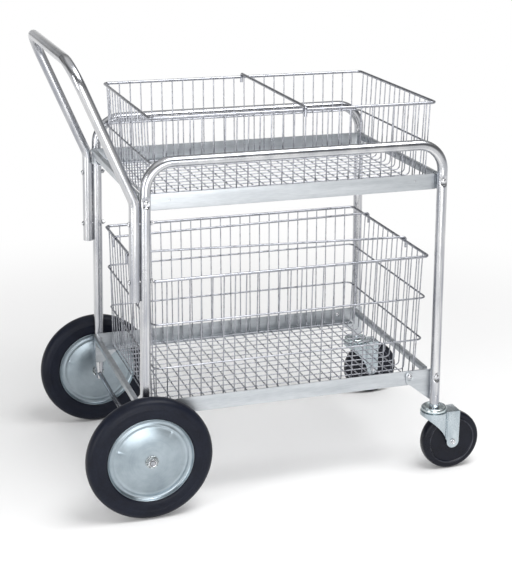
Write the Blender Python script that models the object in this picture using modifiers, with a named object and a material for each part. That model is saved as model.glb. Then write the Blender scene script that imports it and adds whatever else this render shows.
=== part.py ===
# Mail cart: two bent tube side frames, two sheet metal decks, two lift-in wire baskets,
# two large rear wheels on a through axle and two swivel casters in front.
# Metres, +Z up. +X is the way the cart is pushed, and the origin is on the floor under its middle.

import math

import bmesh
import bpy
from mathutils import Matrix, Vector

# General
gap = 0.0003
cut_overrun = 0.004

# Side frames and their tube
tube_diameter = 0.025
tube_sides = 10
leg_spacing = 0.734
frame_spacing = 0.526
rail_height = 0.853
rail_bend_radius = 0.066
bend_steps = 5
wire_bend_steps = 1
ring_corner_steps = 2
lean_height = 0.75
leg_lean_share = 0.0167
rear_foot_height = 0.139
front_foot_height = 0.177
foot_taper_length = 0.055
foot_taper_share = 0.62
press_half_length = 0.017
press_flat_half = 0.0075
press_share = 0.36

# Push handle
grip_height = 1.0815
arm_slope_share = 0.441
arm_bend_height = 0.777
arm_bend_radius = 0.11
grip_bend_radius = 0.066
handle_foot_height = 0.531
handle_bolt_heights = (0.577, 0.714)
tube_end_depth = 0.016
tube_wall = 0.002

# Decks
upper_deck_top = 0.7775
lower_deck_top = 0.2705
apron_depth = 0.039
deck_sheet = 0.002
deck_flange = 0.03
deck_corner_radius = 0.02
deck_rear_corner_radius = 0.007
deck_corner_steps = 3
deck_end_depth = 0.0175
deck_end_lip = 0.009
deck_end_round = 0.0035
deck_rear_overhang = 0.016
deck_front_setback = 0.006
ear_height = 0.03
ear_reach = 0.0125

# Corner gussets under the lower deck
gusset_sheet = 0.0025
gusset_reach = 0.074
gusset_foot_height = 0.188
gusset_nose_radius = 0.012
gusset_bolt_reach = 0.064

# Rivets and bolts
rivet_radius = 0.003
rivet_head_radius = 0.0062
rivet_head_height = 0.0035
rivet_tail_radius = 0.005
rivet_tail_height = 0.0025
handle_bolt_radius = 0.003
bolt_head_radius = 0.0058
bolt_head_height = 0.0036
nut_across_flats = 0.010
nut_height = 0.005
bolt_end = 0.003
fastener_sides = 8
rivet_sides = 6
hole_clearance = 0.0004

# Wire baskets
basket_length = 0.696
basket_rear_inset = 0.0215
side_wire_count = 26
end_wire_count = 17
wire_radius = 0.0018
ring_radius = 0.0025
rim_radius = 0.0033
ring_corner_radius = 0.012
basket_bend_radius = 0.01
upper_rim_height = 0.9475
upper_rim_width = 0.473
upper_ring_drops = (0.1035,)
lower_rim_height = 0.5685
lower_rim_width = 0.494
lower_ring_drops = (0.107, 0.21)
wall_flare_share = 0.03
end_flare_share = 0.012
rim_tuck_share = 0.4
weld_shift = 0.002
ring_weld_step = 9

# Loose bars on the basket rims
divider_radius = 0.0036
divider_shift = 0.018
divider_hook = 0.022
file_rod_radius = 0.0028
file_rod_hook = 0.027
hook_bend_radius = 0.007
file_rod_rear_places = (0.122, -0.023)
file_rod_front_places = (0.151, -0.094)

# Rear wheels and axle
wheel_radius = 0.153
tyre_width = 0.044
tyre_shoulder = 0.012
disc_radius = 0.1045
wheel_offset = 0.0397
disc_sheet = 0.0022
disc_dome = 0.0085
disc_rim_depth = 0.015
disc_hub_radius = 0.021
disc_groove_width = 0.011
disc_groove_depth = 0.005
disc_bead = 0.006
axle_radius = 0.006
axle_clearance = 0.0005
hub_radius = 0.0135
hub_collar = 0.0025
axle_tip = 0.0075
cap_radius = 0.0105
cap_height = 0.0035
cap_shift = 0.0006
wheel_steps = 24
hub_steps = 10

# Swivel casters
caster_radius = 0.0777
caster_trail = 0.0465
caster_width = 0.032
caster_shoulder = 0.006
caster_ring_share = 0.77
caster_hub_share = 0.3
caster_recess = 0.003
caster_bore_clearance = 0.0005
caster_steps = 20
raceway_steps = 16
fork_sheet = 0.003
fork_side_gap = 0.0025
fork_top_gap = 0.003
fork_strap_half = 0.0145
fork_web_reach = 0.028
crown_radius = 0.0285
raceway_radius = 0.031
raceway_height = 0.0105
raceway_dish = 0.004
stem_radius = 0.008
stem_length = 0.03
stem_clearance = 0.0008
kingpin_radius = 0.005
kingpin_head_radius = 0.0085
kingpin_head_height = 0.002
caster_bolt_radius = 0.004
caster_bolt_head_radius = 0.0072
caster_bolt_head_height = 0.0042

tube_radius = tube_diameter / 2
half_spacing = frame_spacing / 2
grip_back = arm_slope_share * (grip_height - arm_bend_height)


def lean(height):
    """How far a leg leans out at a height, from its place at lean_height."""
    return leg_lean_share * (lean_height - height)


caster_x_reach = leg_spacing + lean(front_foot_height) + caster_trail + caster_radius
handle_x_reach = tube_diameter + gap + lean(arm_bend_height) + grip_back + tube_radius
rear_x = (handle_x_reach - caster_x_reach) / 2


def rear_leg_x(height):
    return rear_x - lean(height)


def front_leg_x(height):
    return rear_x + leg_spacing + lean(height)


# Collections, materials and mesh helpers

for old in list(bpy.data.objects):
    bpy.data.objects.remove(old, do_unlink=True)

parts = bpy.data.collections.new("mail_cart")
cutters = bpy.data.collections.new("cutters")
for collection in (parts, cutters):
    bpy.context.scene.collection.children.link(collection)


def material(name, colour, metallic, roughness):
    made = bpy.data.materials.new(name)
    made.use_nodes = True
    shader = made.node_tree.nodes["Principled BSDF"]
    shader.inputs["Base Color"].default_value = (*colour, 1)
    shader.inputs["Metallic"].default_value = metallic
    shader.inputs["Roughness"].default_value = roughness
    return made


finishes = {
    "chrome_tube": ((0.78, 0.79, 0.8), 1, 0.18),
    "zinc_sheet": ((0.62, 0.68, 0.74), 1, 0.38),
    "bright_wire": ((0.72, 0.73, 0.75), 1, 0.25),
    "zinc_disc": ((0.55, 0.63, 0.69), 1, 0.32),
    "zinc_caster": ((0.66, 0.71, 0.76), 1, 0.28),
    "tyre_rubber": ((0.02, 0.022, 0.027), 0, 0.6),
    "hard_rubber": ((0.018, 0.019, 0.026), 0, 0.42),
    "zinc_fastener": ((0.74, 0.75, 0.76), 1, 0.25),
    "axle_steel": ((0.68, 0.7, 0.72), 1, 0.3),
}


def keep(obj, finish, pivot=None):
    """Gives a finished part its own material and puts it with the parts.

    A moving piece also gets its origin on its pivot, the middle of its joint's axis.
    """
    if pivot is not None:
        obj.data.transform(Matrix.Translation(-Vector(pivot)))
        obj.location = pivot
    colour, metallic, roughness = finishes[finish]
    obj.data.materials.clear()
    obj.data.materials.append(material(obj.name + "_" + finish, colour, metallic, roughness))
    parts.objects.link(obj)
    return obj


def helper(obj):
    """Puts a shape that only cuts or joins another with the cutters."""
    obj.hide_render = True
    obj.display_type = "WIRE"
    cutters.objects.link(obj)
    return obj


def smooth(obj, angle=math.radians(35)):
    obj.data.shade_smooth()
    obj.data.set_sharp_from_angle(angle=angle)
    return obj


def from_bmesh(name, bm):
    mesh = bpy.data.meshes.new(name)
    bm.to_mesh(mesh)
    bm.free()
    return bpy.data.objects.new(name, mesh)


def place_mesh(obj, matrix):
    obj.data.transform(matrix)
    obj.data.update()
    return obj


def curve_mesh(name, curve):
    """Turns a curve into a mesh object, with its loose caps welded."""
    source = bpy.data.objects.new(name, curve)
    bpy.context.scene.collection.objects.link(source)
    bpy.context.view_layer.update()
    evaluated = source.evaluated_get(bpy.context.evaluated_depsgraph_get())
    mesh = bpy.data.meshes.new_from_object(evaluated)
    bm = bmesh.new()
    bm.from_mesh(mesh)
    bmesh.ops.remove_doubles(bm, verts=bm.verts, dist=gap / 10)
    bmesh.ops.recalc_face_normals(bm, faces=bm.faces)
    bm.to_mesh(mesh)
    bm.free()
    matrix = source.matrix_world.copy()
    bpy.data.objects.remove(source, do_unlink=True)
    bpy.data.curves.remove(curve)
    made = bpy.data.objects.new(name, mesh)
    made.matrix_world = matrix
    return made


def tube(name, paths, radius, resolution, cyclic=False, tilt=0):
    """A round wire or tube along one path or several."""
    curve = bpy.data.curves.new(name, "CURVE")
    curve.dimensions = "3D"
    curve.twist_mode = "MINIMUM"
    curve.bevel_depth = radius
    curve.bevel_resolution = resolution
    curve.use_fill_caps = not cyclic
    for path in paths:
        spline = curve.splines.new("POLY")
        spline.points.add(len(path) - 1)
        for point, place in zip(spline.points, path):
            point.co = (*place, 1)
            point.tilt = tilt
        spline.use_cyclic_u = cyclic
    return curve_mesh(name, curve)


def plate(name, outlines, thickness, matrix):
    """A flat sheet: the first outline is its edge and the others are openings."""
    curve = bpy.data.curves.new(name, "CURVE")
    curve.dimensions = "2D"
    curve.fill_mode = "BOTH"
    curve.extrude = thickness / 2
    for outline in outlines:
        spline = curve.splines.new("POLY")
        spline.points.add(len(outline) - 1)
        for point, place in zip(spline.points, outline):
            point.co = (place[0], place[1], 0, 1)
        spline.use_cyclic_u = True
    return place_mesh(curve_mesh(name, curve), matrix)


def box(name, low, high):
    bm = bmesh.new()
    bmesh.ops.create_cube(bm, size=1)
    low, high = Vector(low), Vector(high)
    size = high - low
    bmesh.ops.scale(bm, vec=size, verts=bm.verts)
    bmesh.ops.translate(bm, vec=(low + high) / 2, verts=bm.verts)
    return from_bmesh(name, bm)


def along(axis):
    """A turn that points +Z along the named axis."""
    return Vector((0, 0, 1)).rotation_difference(Vector(axis)).to_matrix().to_4x4()


def bore(radius, clearance, sides=fastener_sides):
    """Radius of a faceted hole whose flats clear a round piece."""
    return (radius + clearance) / math.cos(math.pi / sides)


def rod(name, start, end, radius, sides=fastener_sides):
    start, end = Vector(start), Vector(end)
    bm = bmesh.new()
    bmesh.ops.create_cone(
        bm,
        cap_ends=True,
        segments=sides,
        radius1=radius,
        radius2=radius,
        depth=(end - start).length,
    )
    obj = from_bmesh(name, bm)
    turn = along(end - start)
    return place_mesh(obj, Matrix.Translation((start + end) / 2) @ turn)


def turned(name, profile, steps, matrix):
    """A solid of revolution about Z, from a closed profile of radius and height."""
    mesh = bpy.data.meshes.new(name)
    count = len(profile)
    edges = [(i, (i + 1) % count) for i in range(count)]
    mesh.from_pydata([(r, 0, h) for r, h in profile], edges, [])
    obj = bpy.data.objects.new(name, mesh)
    screw = obj.modifiers.new("turn", "SCREW")
    screw.axis = "Z"
    screw.angle = math.tau
    screw.steps = steps
    screw.render_steps = steps
    screw.use_merge_vertices = True
    screw.merge_threshold = gap / 10
    bpy.context.scene.collection.objects.link(obj)
    bpy.context.view_layer.update()
    evaluated = obj.evaluated_get(bpy.context.evaluated_depsgraph_get())
    solid = bpy.data.meshes.new_from_object(evaluated)
    bpy.data.objects.remove(obj, do_unlink=True)
    bm = bmesh.new()
    bm.from_mesh(solid)
    bmesh.ops.remove_doubles(bm, verts=bm.verts, dist=gap / 10)
    bmesh.ops.recalc_face_normals(bm, faces=bm.faces)
    bm.to_mesh(solid)
    bm.free()
    return place_mesh(bpy.data.objects.new(name, solid), matrix)


def boolean(obj, other, operation):
    change = obj.modifiers.new(operation.lower(), "BOOLEAN")
    change.operation = operation
    change.object = helper(other)
    return obj


def cut(obj, other):
    return boolean(obj, other, "DIFFERENCE")


def join(obj, other):
    return boolean(obj, other, "UNION")


def arc(centre, radius, start, end, steps):
    """Points on an arc in a plane, with both ends, angles in degrees."""
    angles = [math.radians(start + (end - start) * i / steps) for i in range(steps + 1)]
    return [(centre[0] + radius * math.cos(a), centre[1] + radius * math.sin(a)) for a in angles]


def rounded(corners, radii, steps):
    """A path through corners, each bent to its radius. A radius of zero keeps a point as it is."""
    path = []
    for i, corner in enumerate(corners):
        radius = radii[i]
        corner = Vector(corner)
        if radius == 0:
            path.append(corner)
            continue
        before = (Vector(corners[i - 1]) - corner).normalized()
        after = (Vector(corners[(i + 1) % len(corners)]) - corner).normalized()
        half = before.angle(after) / 2
        setback = radius / math.tan(half)
        centre = corner + (before + after).normalized() * (radius / math.sin(half))
        first = corner + before * setback - centre
        last = corner + after * setback - centre
        sweep = first.angle(last)
        for j in range(steps + 1):
            share = j / steps
            weight_first = math.sin((1 - share) * sweep) / math.sin(sweep)
            weight_last = math.sin(share * sweep) / math.sin(sweep)
            path.append(centre + first * weight_first + last * weight_last)
    return path


def rounded_rectangle(low, high, rear_radius, front_radius, steps):
    corners = [(low[0], low[1]), (high[0], low[1]), (high[0], high[1]), (low[0], high[1])]
    radii = [rear_radius, front_radius, front_radius, rear_radius]
    path = rounded([(x, y, 0) for x, y in corners], radii, steps)
    return [(point.x, point.y) for point in path]


# Side frames

sides = {"right": -1, "left": 1}
rivet_drop = apron_depth * 0.38
lower_rivet_height = lower_deck_top - rivet_drop
upper_rivet_height = upper_deck_top - rivet_drop
foot_rivet_height = 0.202
axle_height = wheel_radius


def frame_path(side):
    y = side * half_spacing
    rear_heights = (
        rear_foot_height,
        rear_foot_height + foot_taper_length / 2,
        rear_foot_height + foot_taper_length,
    )
    press_heights = []
    for height in (lower_rivet_height, upper_rivet_height):
        press_heights += [height - press_half_length, height - press_flat_half]
        press_heights += [height + press_flat_half, height + press_half_length]
    rear = [(rear_leg_x(h), y, h) for h in (*rear_heights, *press_heights)]
    front = [(front_leg_x(h), y, h) for h in (*press_heights[::-1], front_foot_height)]
    corners = [(rear_leg_x(rail_height), y, rail_height), (front_leg_x(rail_height), y, rail_height)]
    bends = rounded([rear[-1], *corners, front[0]], [0, rail_bend_radius, rail_bend_radius, 0], bend_steps)
    return [*rear[:-1], *bends, *front[1:]]


def side_frame(name, side):
    frame = tube(name, [frame_path(side)], tube_radius, (tube_sides - 4) // 2)
    y = side * half_spacing
    for vertex in frame.data.vertices:
        place = vertex.co
        outward = (place.y - y) * side
        for height in (lower_rivet_height, upper_rivet_height):
            if abs(place.z - height) < (press_half_length + press_flat_half) / 2 and outward > 0:
                place.y = y + (place.y - y) * (1 - press_share)
        middle = rear_leg_x(place.z)
        if place.z < rear_foot_height + foot_taper_length * 0.75 and place.x < 0:
            rise = max(0, place.z - rear_foot_height) / foot_taper_length
            place.x = middle + (place.x - middle) * (foot_taper_share + (1 - foot_taper_share) * rise)
    reach = side * (tube_radius + cut_overrun)
    for leg_x in (rear_leg_x, front_leg_x):
        for height in (lower_rivet_height, upper_rivet_height):
            ends = [(leg_x(height), y - reach, height), (leg_x(height), y + reach, height)]
            cut(frame, rod(name + "_rivet_hole", *ends, bore(rivet_radius, hole_clearance, rivet_sides), rivet_sides))
    for height in handle_bolt_heights:
        reach_x = tube_radius + cut_overrun
        ends = [(rear_leg_x(height) - reach_x, y, height), (rear_leg_x(height) + reach_x, y, height)]
        cut(frame, rod(name + "_bolt_hole", *ends, bore(handle_bolt_radius, hole_clearance)))
    ends = [(rear_leg_x(axle_height), y - reach, axle_height), (rear_leg_x(axle_height), y + reach, axle_height)]
    cut(frame, rod(name + "_axle_hole", *ends, bore(axle_radius, hole_clearance)))
    stem_top = front_foot_height + stem_length + stem_clearance
    x = front_leg_x(front_foot_height)
    ends = [(x, y, front_foot_height - cut_overrun), (x, y, stem_top)]
    cut(frame, rod(name + "_stem_socket", *ends, bore(stem_radius, stem_clearance)))
    return keep(smooth(frame), "chrome_tube")


# Push handle


def handle_arm_x(height):
    return rear_leg_x(height) - tube_diameter - gap


def push_handle():
    bend_x = handle_arm_x(arm_bend_height)
    grip_x = bend_x - grip_back
    corners = [
        (handle_arm_x(handle_foot_height), -half_spacing, handle_foot_height),
        (bend_x, -half_spacing, arm_bend_height),
        (grip_x, -half_spacing, grip_height),
        (grip_x, half_spacing, grip_height),
        (bend_x, half_spacing, arm_bend_height),
        (handle_arm_x(handle_foot_height), half_spacing, handle_foot_height),
    ]
    radii = [0, arm_bend_radius, grip_bend_radius, grip_bend_radius, arm_bend_radius, 0]
    handle = tube("push_handle", [rounded(corners, radii, bend_steps)], tube_radius, (tube_sides - 4) // 2)
    for side in sides.values():
        y = side * half_spacing
        for height in handle_bolt_heights:
            x = handle_arm_x(height)
            ends = [(x - tube_radius - cut_overrun, y, height), (x + tube_radius + cut_overrun, y, height)]
            cut(handle, rod("handle_bolt_hole", *ends, bore(handle_bolt_radius, hole_clearance)))
        x = handle_arm_x(handle_foot_height)
        ends = [(x, y, handle_foot_height - cut_overrun), (x, y, handle_foot_height + tube_end_depth)]
        cut(handle, rod("handle_end", *ends, tube_radius - tube_wall))
    return keep(smooth(handle), "chrome_tube")


def handle_bolt(name, side, height):
    y = side * half_spacing
    head_x = handle_arm_x(height) - tube_radius - gap
    nut_x = rear_leg_x(height) + tube_radius + gap
    bolt = rod(name, (head_x - bolt_head_height, y, height), (head_x, y, height), bolt_head_radius)
    end_x = nut_x + nut_height + bolt_end
    shank = [(head_x - bolt_head_height / 2, y, height), (end_x, y, height)]
    join(bolt, rod(name + "_shank", *shank, handle_bolt_radius))
    return keep(smooth(bolt), "zinc_fastener")


def handle_nut(name, side, height):
    y = side * half_spacing
    nut_x = rear_leg_x(height) + tube_radius + gap
    radius = nut_across_flats / 2 / math.cos(math.pi / 6)
    nut = rod(name, (nut_x, y, height), (nut_x + nut_height, y, height), radius, 6)
    ends = [(nut_x - cut_overrun, y, height), (nut_x + nut_height + cut_overrun, y, height)]
    cut(nut, rod(name + "_thread", *ends, bore(handle_bolt_radius, gap)))
    return keep(smooth(nut), "zinc_fastener")


# Decks

deck_half_widths = {
    "upper": half_spacing - tube_radius - gap,
    "lower": half_spacing - tube_radius - gap - gusset_sheet - gap,
}
deck_tops = {"upper": upper_deck_top, "lower": lower_deck_top}
deck_front_x = rear_x + leg_spacing - deck_front_setback


def deck_rear_x(level):
    return rear_leg_x(deck_tops[level]) - deck_rear_overhang


def deck_frame(level):
    name = level + "_deck_frame"
    top = deck_tops[level]
    bottom = top - apron_depth
    half = deck_half_widths[level]
    low = (deck_rear_x(level), -half)
    high = (deck_front_x, half)
    inner_low = (low[0] + deck_sheet, low[1] + deck_sheet)
    inner_high = (high[0] - deck_sheet, high[1] - deck_sheet)
    rear_radius, front_radius = deck_rear_corner_radius, deck_corner_radius
    outer = rounded_rectangle(low, high, rear_radius, front_radius, deck_corner_steps)
    inner = rounded_rectangle(
        inner_low, inner_high, rear_radius - deck_sheet, front_radius - deck_sheet, deck_corner_steps
    )
    wall_place = Matrix.Translation((0, 0, (top + bottom) / 2))
    deck = plate(name, [outer, inner], apron_depth, wall_place)
    end_bottom = top - deck_end_depth
    notch_half = half - deck_corner_radius
    for x in (low[0], high[0]):
        notch_low = (x - cut_overrun, -notch_half, bottom - cut_overrun)
        notch_high = (x + cut_overrun, notch_half, end_bottom)
        cut(deck, box(name + "_end_notch", notch_low, notch_high))
    for side in sides.values():
        near, far = sorted((side * (half - deck_sheet / 2), side * (half - deck_flange)))
        flange_low = (low[0] + deck_corner_radius + deck_sheet, near, bottom + gap)
        flange_high = (high[0] - deck_corner_radius - deck_sheet, far, bottom + deck_sheet)
        join(deck, box(name + "_flange", flange_low, flange_high))
    for x, inward in ((low[0], 1), (high[0], -1)):
        join(deck, end_lip(name + "_end_lip", x, inward, top, notch_half - gap))
    if level == "upper":
        for side in sides.values():
            near, far = sorted((side * (half - gap), side * (half - deck_sheet + gap)))
            middle = upper_rivet_height
            ear_low = (high[0] - deck_corner_radius * 1.5, near, middle - ear_height / 2)
            ear_high = (front_leg_x(middle) + ear_reach, far, middle + ear_height / 2)
            join(deck, box(name + "_ear", ear_low, ear_high))
    for side in sides.values():
        for place in rivet_places(level):
            reach = (half - apron_depth / 2, half + cut_overrun)
            ends = [(place[0], side * reach[0], place[1]), (place[0], side * reach[1], place[1])]
            cut(deck, rod(name + "_rivet_hole", *ends, bore(rivet_radius, hole_clearance, rivet_sides), rivet_sides))
    return keep(smooth(deck), "zinc_sheet")


def end_lip(name, x, inward, top, half):
    """The rolled top edge of a deck's end: a lip that turns inward and down a little."""
    reach = deck_end_lip
    outline = [
        (deck_sheet / 4, top - deck_end_depth / 2),
        (-deck_end_round, top - deck_end_round),
        *arc((0, top), deck_end_round, 180, 90, 3),
        (reach - deck_sheet, top + deck_end_round),
        (reach, top + deck_end_round - deck_sheet),
        (reach, top - deck_end_round),
        (reach - deck_sheet, top - deck_end_round),
        (reach - deck_sheet, top + gap),
        (deck_sheet * 0.8, top + gap),
        (deck_sheet * 0.8, top - deck_end_depth / 2),
    ]
    placed = [(x + inward * across, height) for across, height in outline]
    turn = Matrix.Rotation(math.pi / 2, 4, "X")
    return plate(name, [placed], 2 * half, turn)


def rivet_places(level):
    """Where a deck is riveted along one side, as X and Z."""
    if level == "upper":
        return [(leg_x(upper_rivet_height), upper_rivet_height) for leg_x in (rear_leg_x, front_leg_x)]
    height = lower_rivet_height
    return [
        (rear_leg_x(height), height),
        (rear_leg_x(height) + gusset_bolt_reach, height),
        (front_leg_x(height) - gusset_bolt_reach, height),
    ]


# Corner gussets


def gusset(name, side, end):
    """end is -1 at a rear leg and 1 at a front leg."""
    leg_x = front_leg_x if end > 0 else rear_leg_x
    middle = leg_x(lower_rivet_height)
    nose = gusset_reach - gusset_nose_radius
    bottom = lower_deck_top - apron_depth
    outline = [
        (-tube_radius, gusset_foot_height),
        (tube_radius * 0.6, gusset_foot_height),
        (nose, bottom),
        *arc((nose, bottom + gusset_nose_radius), gusset_nose_radius, -90, 0, 2)[1:],
        *arc((nose, lower_deck_top - gusset_nose_radius), gusset_nose_radius, 0, 90, 2),
        (-tube_radius, lower_deck_top),
    ]
    placed = [(middle - end * across, height) for across, height in outline]
    y = side * (half_spacing - tube_radius - gap - gusset_sheet / 2)
    turn = Matrix.Translation((0, y, 0)) @ Matrix.Rotation(math.pi / 2, 4, "X")
    sheet = plate(name, [placed], gusset_sheet, turn)
    holes = [(middle, lower_rivet_height), (middle - end * gusset_bolt_reach, lower_rivet_height)]
    for x, height in holes:
        reach = gusset_sheet / 2 + cut_overrun
        ends = [(x, y - reach, height), (x, y + reach, height)]
        cut(sheet, rod(name + "_rivet_hole", *ends, bore(rivet_radius, hole_clearance, rivet_sides), rivet_sides))
    return keep(smooth(sheet), "zinc_sheet")


def rivet(name, side, place, outer_face, inner_face):
    """One rivet along Y, its domed head outside and its tail inside."""
    x, height = place
    head = [
        (0, rivet_head_height),
        (rivet_head_radius * 0.6, rivet_head_height * 0.8),
        (rivet_head_radius, 0),
        (rivet_radius, 0),
        (rivet_radius, inner_face - outer_face),
        (rivet_tail_radius, inner_face - outer_face),
        (rivet_tail_radius, inner_face - outer_face - rivet_tail_height),
        (0, inner_face - outer_face - rivet_tail_height),
    ]
    place_matrix = Matrix.Translation((x, side * outer_face, height)) @ along((0, side, 0))
    return keep(smooth(turned(name, head, rivet_sides, place_matrix)), "zinc_fastener")


# Wire baskets


rim_tuck = rim_radius * rim_tuck_share


def basket_rings(level):
    """Height of a basket's rim and rings, with the half width and end inset of the wires there."""
    if level == "upper":
        rim, width, drops = upper_rim_height, upper_rim_width, upper_ring_drops
    else:
        rim, width, drops = lower_rim_height, lower_rim_width, lower_ring_drops
    return [
        (rim - drop, width / 2 - rim_tuck - drop * wall_flare_share, rim_tuck + drop * end_flare_share)
        for drop in (0, *drops)
    ]


def basket_floor(level):
    """Height of the underside of a basket's lowest wires."""
    return deck_tops[level] - apron_depth + deck_sheet + gap


basket_rear_x = rear_x + basket_rear_inset
basket_front_x = basket_rear_x + basket_length


def basket(level):
    name = level + "_basket"
    rings = basket_rings(level)
    rim_height, rim_half, rim_inset = rings[0]
    floor = basket_floor(level)
    side_floor = floor + wire_radius
    end_floor = side_floor + 2 * wire_radius + gap
    drop = rim_height - side_floor
    foot_half = rim_half - drop * wall_flare_share
    foot_inset = rim_inset + drop * end_flare_share
    wires = []
    spacing = basket_length / side_wire_count
    for i in range(side_wire_count):
        x = basket_rear_x + spacing * (i + 0.5)
        out = weld_shift if i % ring_weld_step == ring_weld_step // 2 else 0
        corners = [
            (x, -rim_half - out, rim_height),
            (x, -foot_half - out, side_floor),
            (x, foot_half + out, side_floor),
            (x, rim_half + out, rim_height),
        ]
        wires.append(rounded(corners, [0, basket_bend_radius, basket_bend_radius, 0], wire_bend_steps))
    end_width = 2 * (foot_half - ring_corner_radius)
    spacing = end_width / (end_wire_count - 1)
    for i in range(end_wire_count):
        y = -end_width / 2 + spacing * i
        out = weld_shift if i % ring_weld_step == ring_weld_step // 2 else 0
        corners = [
            (basket_rear_x + rim_inset - out, y, rim_height),
            (basket_rear_x + foot_inset - out, y, end_floor),
            (basket_front_x - foot_inset + out, y, end_floor),
            (basket_front_x - rim_inset + out, y, rim_height),
        ]
        wires.append(rounded(corners, [0, basket_bend_radius, basket_bend_radius, 0], wire_bend_steps))
    body = tube(name, wires, wire_radius, 0, tilt=math.pi / 4)
    join(body, basket_ring(name + "_rim", rings[0], rim_tuck, rim_radius))
    for ring in rings[1:]:
        outset = wire_radius + ring_radius + gap
        join(body, basket_ring(name + "_ring", ring, outset, ring_radius))
    return keep(smooth(body), "bright_wire", ((basket_rear_x + basket_front_x) / 2, 0, floor))


def basket_ring(name, ring, outset, radius):
    height, half, inset = ring
    low = (basket_rear_x + inset - outset, -half - outset)
    high = (basket_front_x - inset + outset, half + outset)
    corner_radius = ring_corner_radius + outset
    outline = rounded_rectangle(low, high, corner_radius, corner_radius, ring_corner_steps)
    path = [(x, y, height) for x, y in outline]
    return tube(name, [path], radius, 1, cyclic=True, tilt=math.pi / 6)


# Loose bars on the baskets


def hooked_bar(name, start, end, radius, hook, finish):
    """A straight bar whose two ends turn down. It slides square to its length."""
    down = Vector((0, 0, -hook))
    corners = [start + down, start, end, end + down]
    path = rounded(corners, [0, hook_bend_radius, hook_bend_radius, 0], 3)
    return keep(smooth(tube(name, [path], radius, 1)), finish, (start + end) / 2)


def divider():
    rim_height = upper_rim_height
    x = (basket_rear_x + basket_front_x) / 2 + divider_shift
    y = upper_rim_width / 2 + rim_radius + divider_radius + gap
    z = rim_height + rim_radius + divider_radius + gap
    return hooked_bar(
        "basket_divider",
        Vector((x, -y, z)),
        Vector((x, y, z)),
        divider_radius,
        divider_hook,
        "bright_wire",
    )


def file_rod(name, rear_y, front_y):
    rim_height = lower_rim_height
    reach = rim_radius + file_rod_radius + gap
    z = rim_height + reach
    start = Vector((basket_rear_x - reach - gap, rear_y, z))
    end = Vector((basket_front_x + reach + gap, front_y, z))
    return hooked_bar(name, start, end, file_rod_radius, file_rod_hook, "bright_wire")


# Rear wheels


def wheel_centre(side):
    return Vector((rear_leg_x(axle_height), side * (half_spacing + wheel_offset), axle_height))


def wheel_axis(side):
    """Points +Z of a turned shape outward along the axle, at the middle of a rear wheel."""
    return Matrix.Translation(wheel_centre(side)) @ along((0, side, 0))


def tyre(name, side):
    half = tyre_width / 2
    seat = disc_radius + gap
    shoulder = tyre_shoulder
    side_profile = [
        (wheel_radius - shoulder * 0.1, half * 0.45),
        (wheel_radius - shoulder * 0.5, half * 0.82),
        (seat + shoulder / 2, half),
        (seat, half * 0.85),
    ]
    profile = [(wheel_radius, 0)] + [(r, -h) for r, h in side_profile] + side_profile[::-1]
    made = turned(name, profile, wheel_steps, wheel_axis(side))
    return keep(smooth(made, math.radians(50)), "tyre_rubber", wheel_centre(side))


def disc(name, side, facing):
    """A pressed disc: facing is 1 on the outside of the wheel and -1 on its inside."""
    edge = disc_rim_depth
    inner = bore(axle_radius, axle_clearance, hub_steps) + disc_sheet
    groove_end = disc_radius - disc_bead
    groove_start = groove_end - disc_groove_width
    face = [
        (inner, edge + disc_dome),
        (disc_hub_radius, edge + disc_dome),
        (groove_start, edge),
        ((groove_start + groove_end) / 2, edge - disc_groove_depth),
        (groove_end, edge),
        (disc_radius, edge),
    ]
    back = [
        (disc_radius, gap),
        (disc_radius - disc_sheet, gap),
        ((groove_start + groove_end) / 2, edge - disc_groove_depth - disc_sheet),
        (disc_hub_radius, edge + disc_dome - disc_sheet),
        (inner, edge + disc_dome - disc_sheet),
    ]
    flip = Matrix.Identity(4) if facing > 0 else Matrix.Rotation(math.pi, 4, "X")
    made = turned(name, face + back, wheel_steps, wheel_axis(side) @ flip)
    return keep(smooth(made), "zinc_disc", wheel_centre(side))


def hub(name, side):
    half = disc_rim_depth + disc_dome - disc_sheet - gap
    inner = bore(axle_radius, axle_clearance, hub_steps)
    nose = inner + disc_sheet - gap
    profile = [
        (hub_radius, half),
        (hub_radius, -half),
        (nose, -half),
        (nose, -half - disc_sheet - hub_collar),
        (inner, -half - disc_sheet - hub_collar),
        (inner, half + disc_sheet + hub_collar),
        (nose, half + disc_sheet + hub_collar),
        (nose, half),
    ]
    made = turned(name, profile, hub_steps, wheel_axis(side))
    return keep(smooth(made), "axle_steel", wheel_centre(side))


hub_reach = disc_rim_depth + disc_dome + hub_collar
axle_half = half_spacing + wheel_offset + hub_reach + axle_tip


def rear_axle():
    x = rear_leg_x(axle_height)
    axle = rod("rear_axle", (x, -axle_half, axle_height), (x, axle_half, axle_height), axle_radius, 16)
    return keep(smooth(axle), "axle_steel")


def axle_cap(name, side):
    """The push-on cap that keeps a wheel on the axle."""
    inner = bore(axle_radius, gap)
    start = hub_reach + gap
    profile = [
        (cap_radius, start + cap_height / 2),
        (cap_radius, start),
        (inner, start),
        (inner, start + cap_height),
        (cap_radius * 0.8, start + cap_height),
    ]
    return keep(smooth(turned(name, profile, fastener_sides, wheel_axis(side))), "zinc_fastener")


# Swivel casters

caster_axis_x = front_leg_x(front_foot_height)
caster_wheel_x = caster_axis_x + caster_trail
crown_bottom = 2 * caster_radius + fork_top_gap
crown_top = crown_bottom + fork_sheet
raceway_bottom = crown_top + gap
raceway_top = raceway_bottom + raceway_height
fork_half = caster_width / 2 + fork_side_gap


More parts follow.
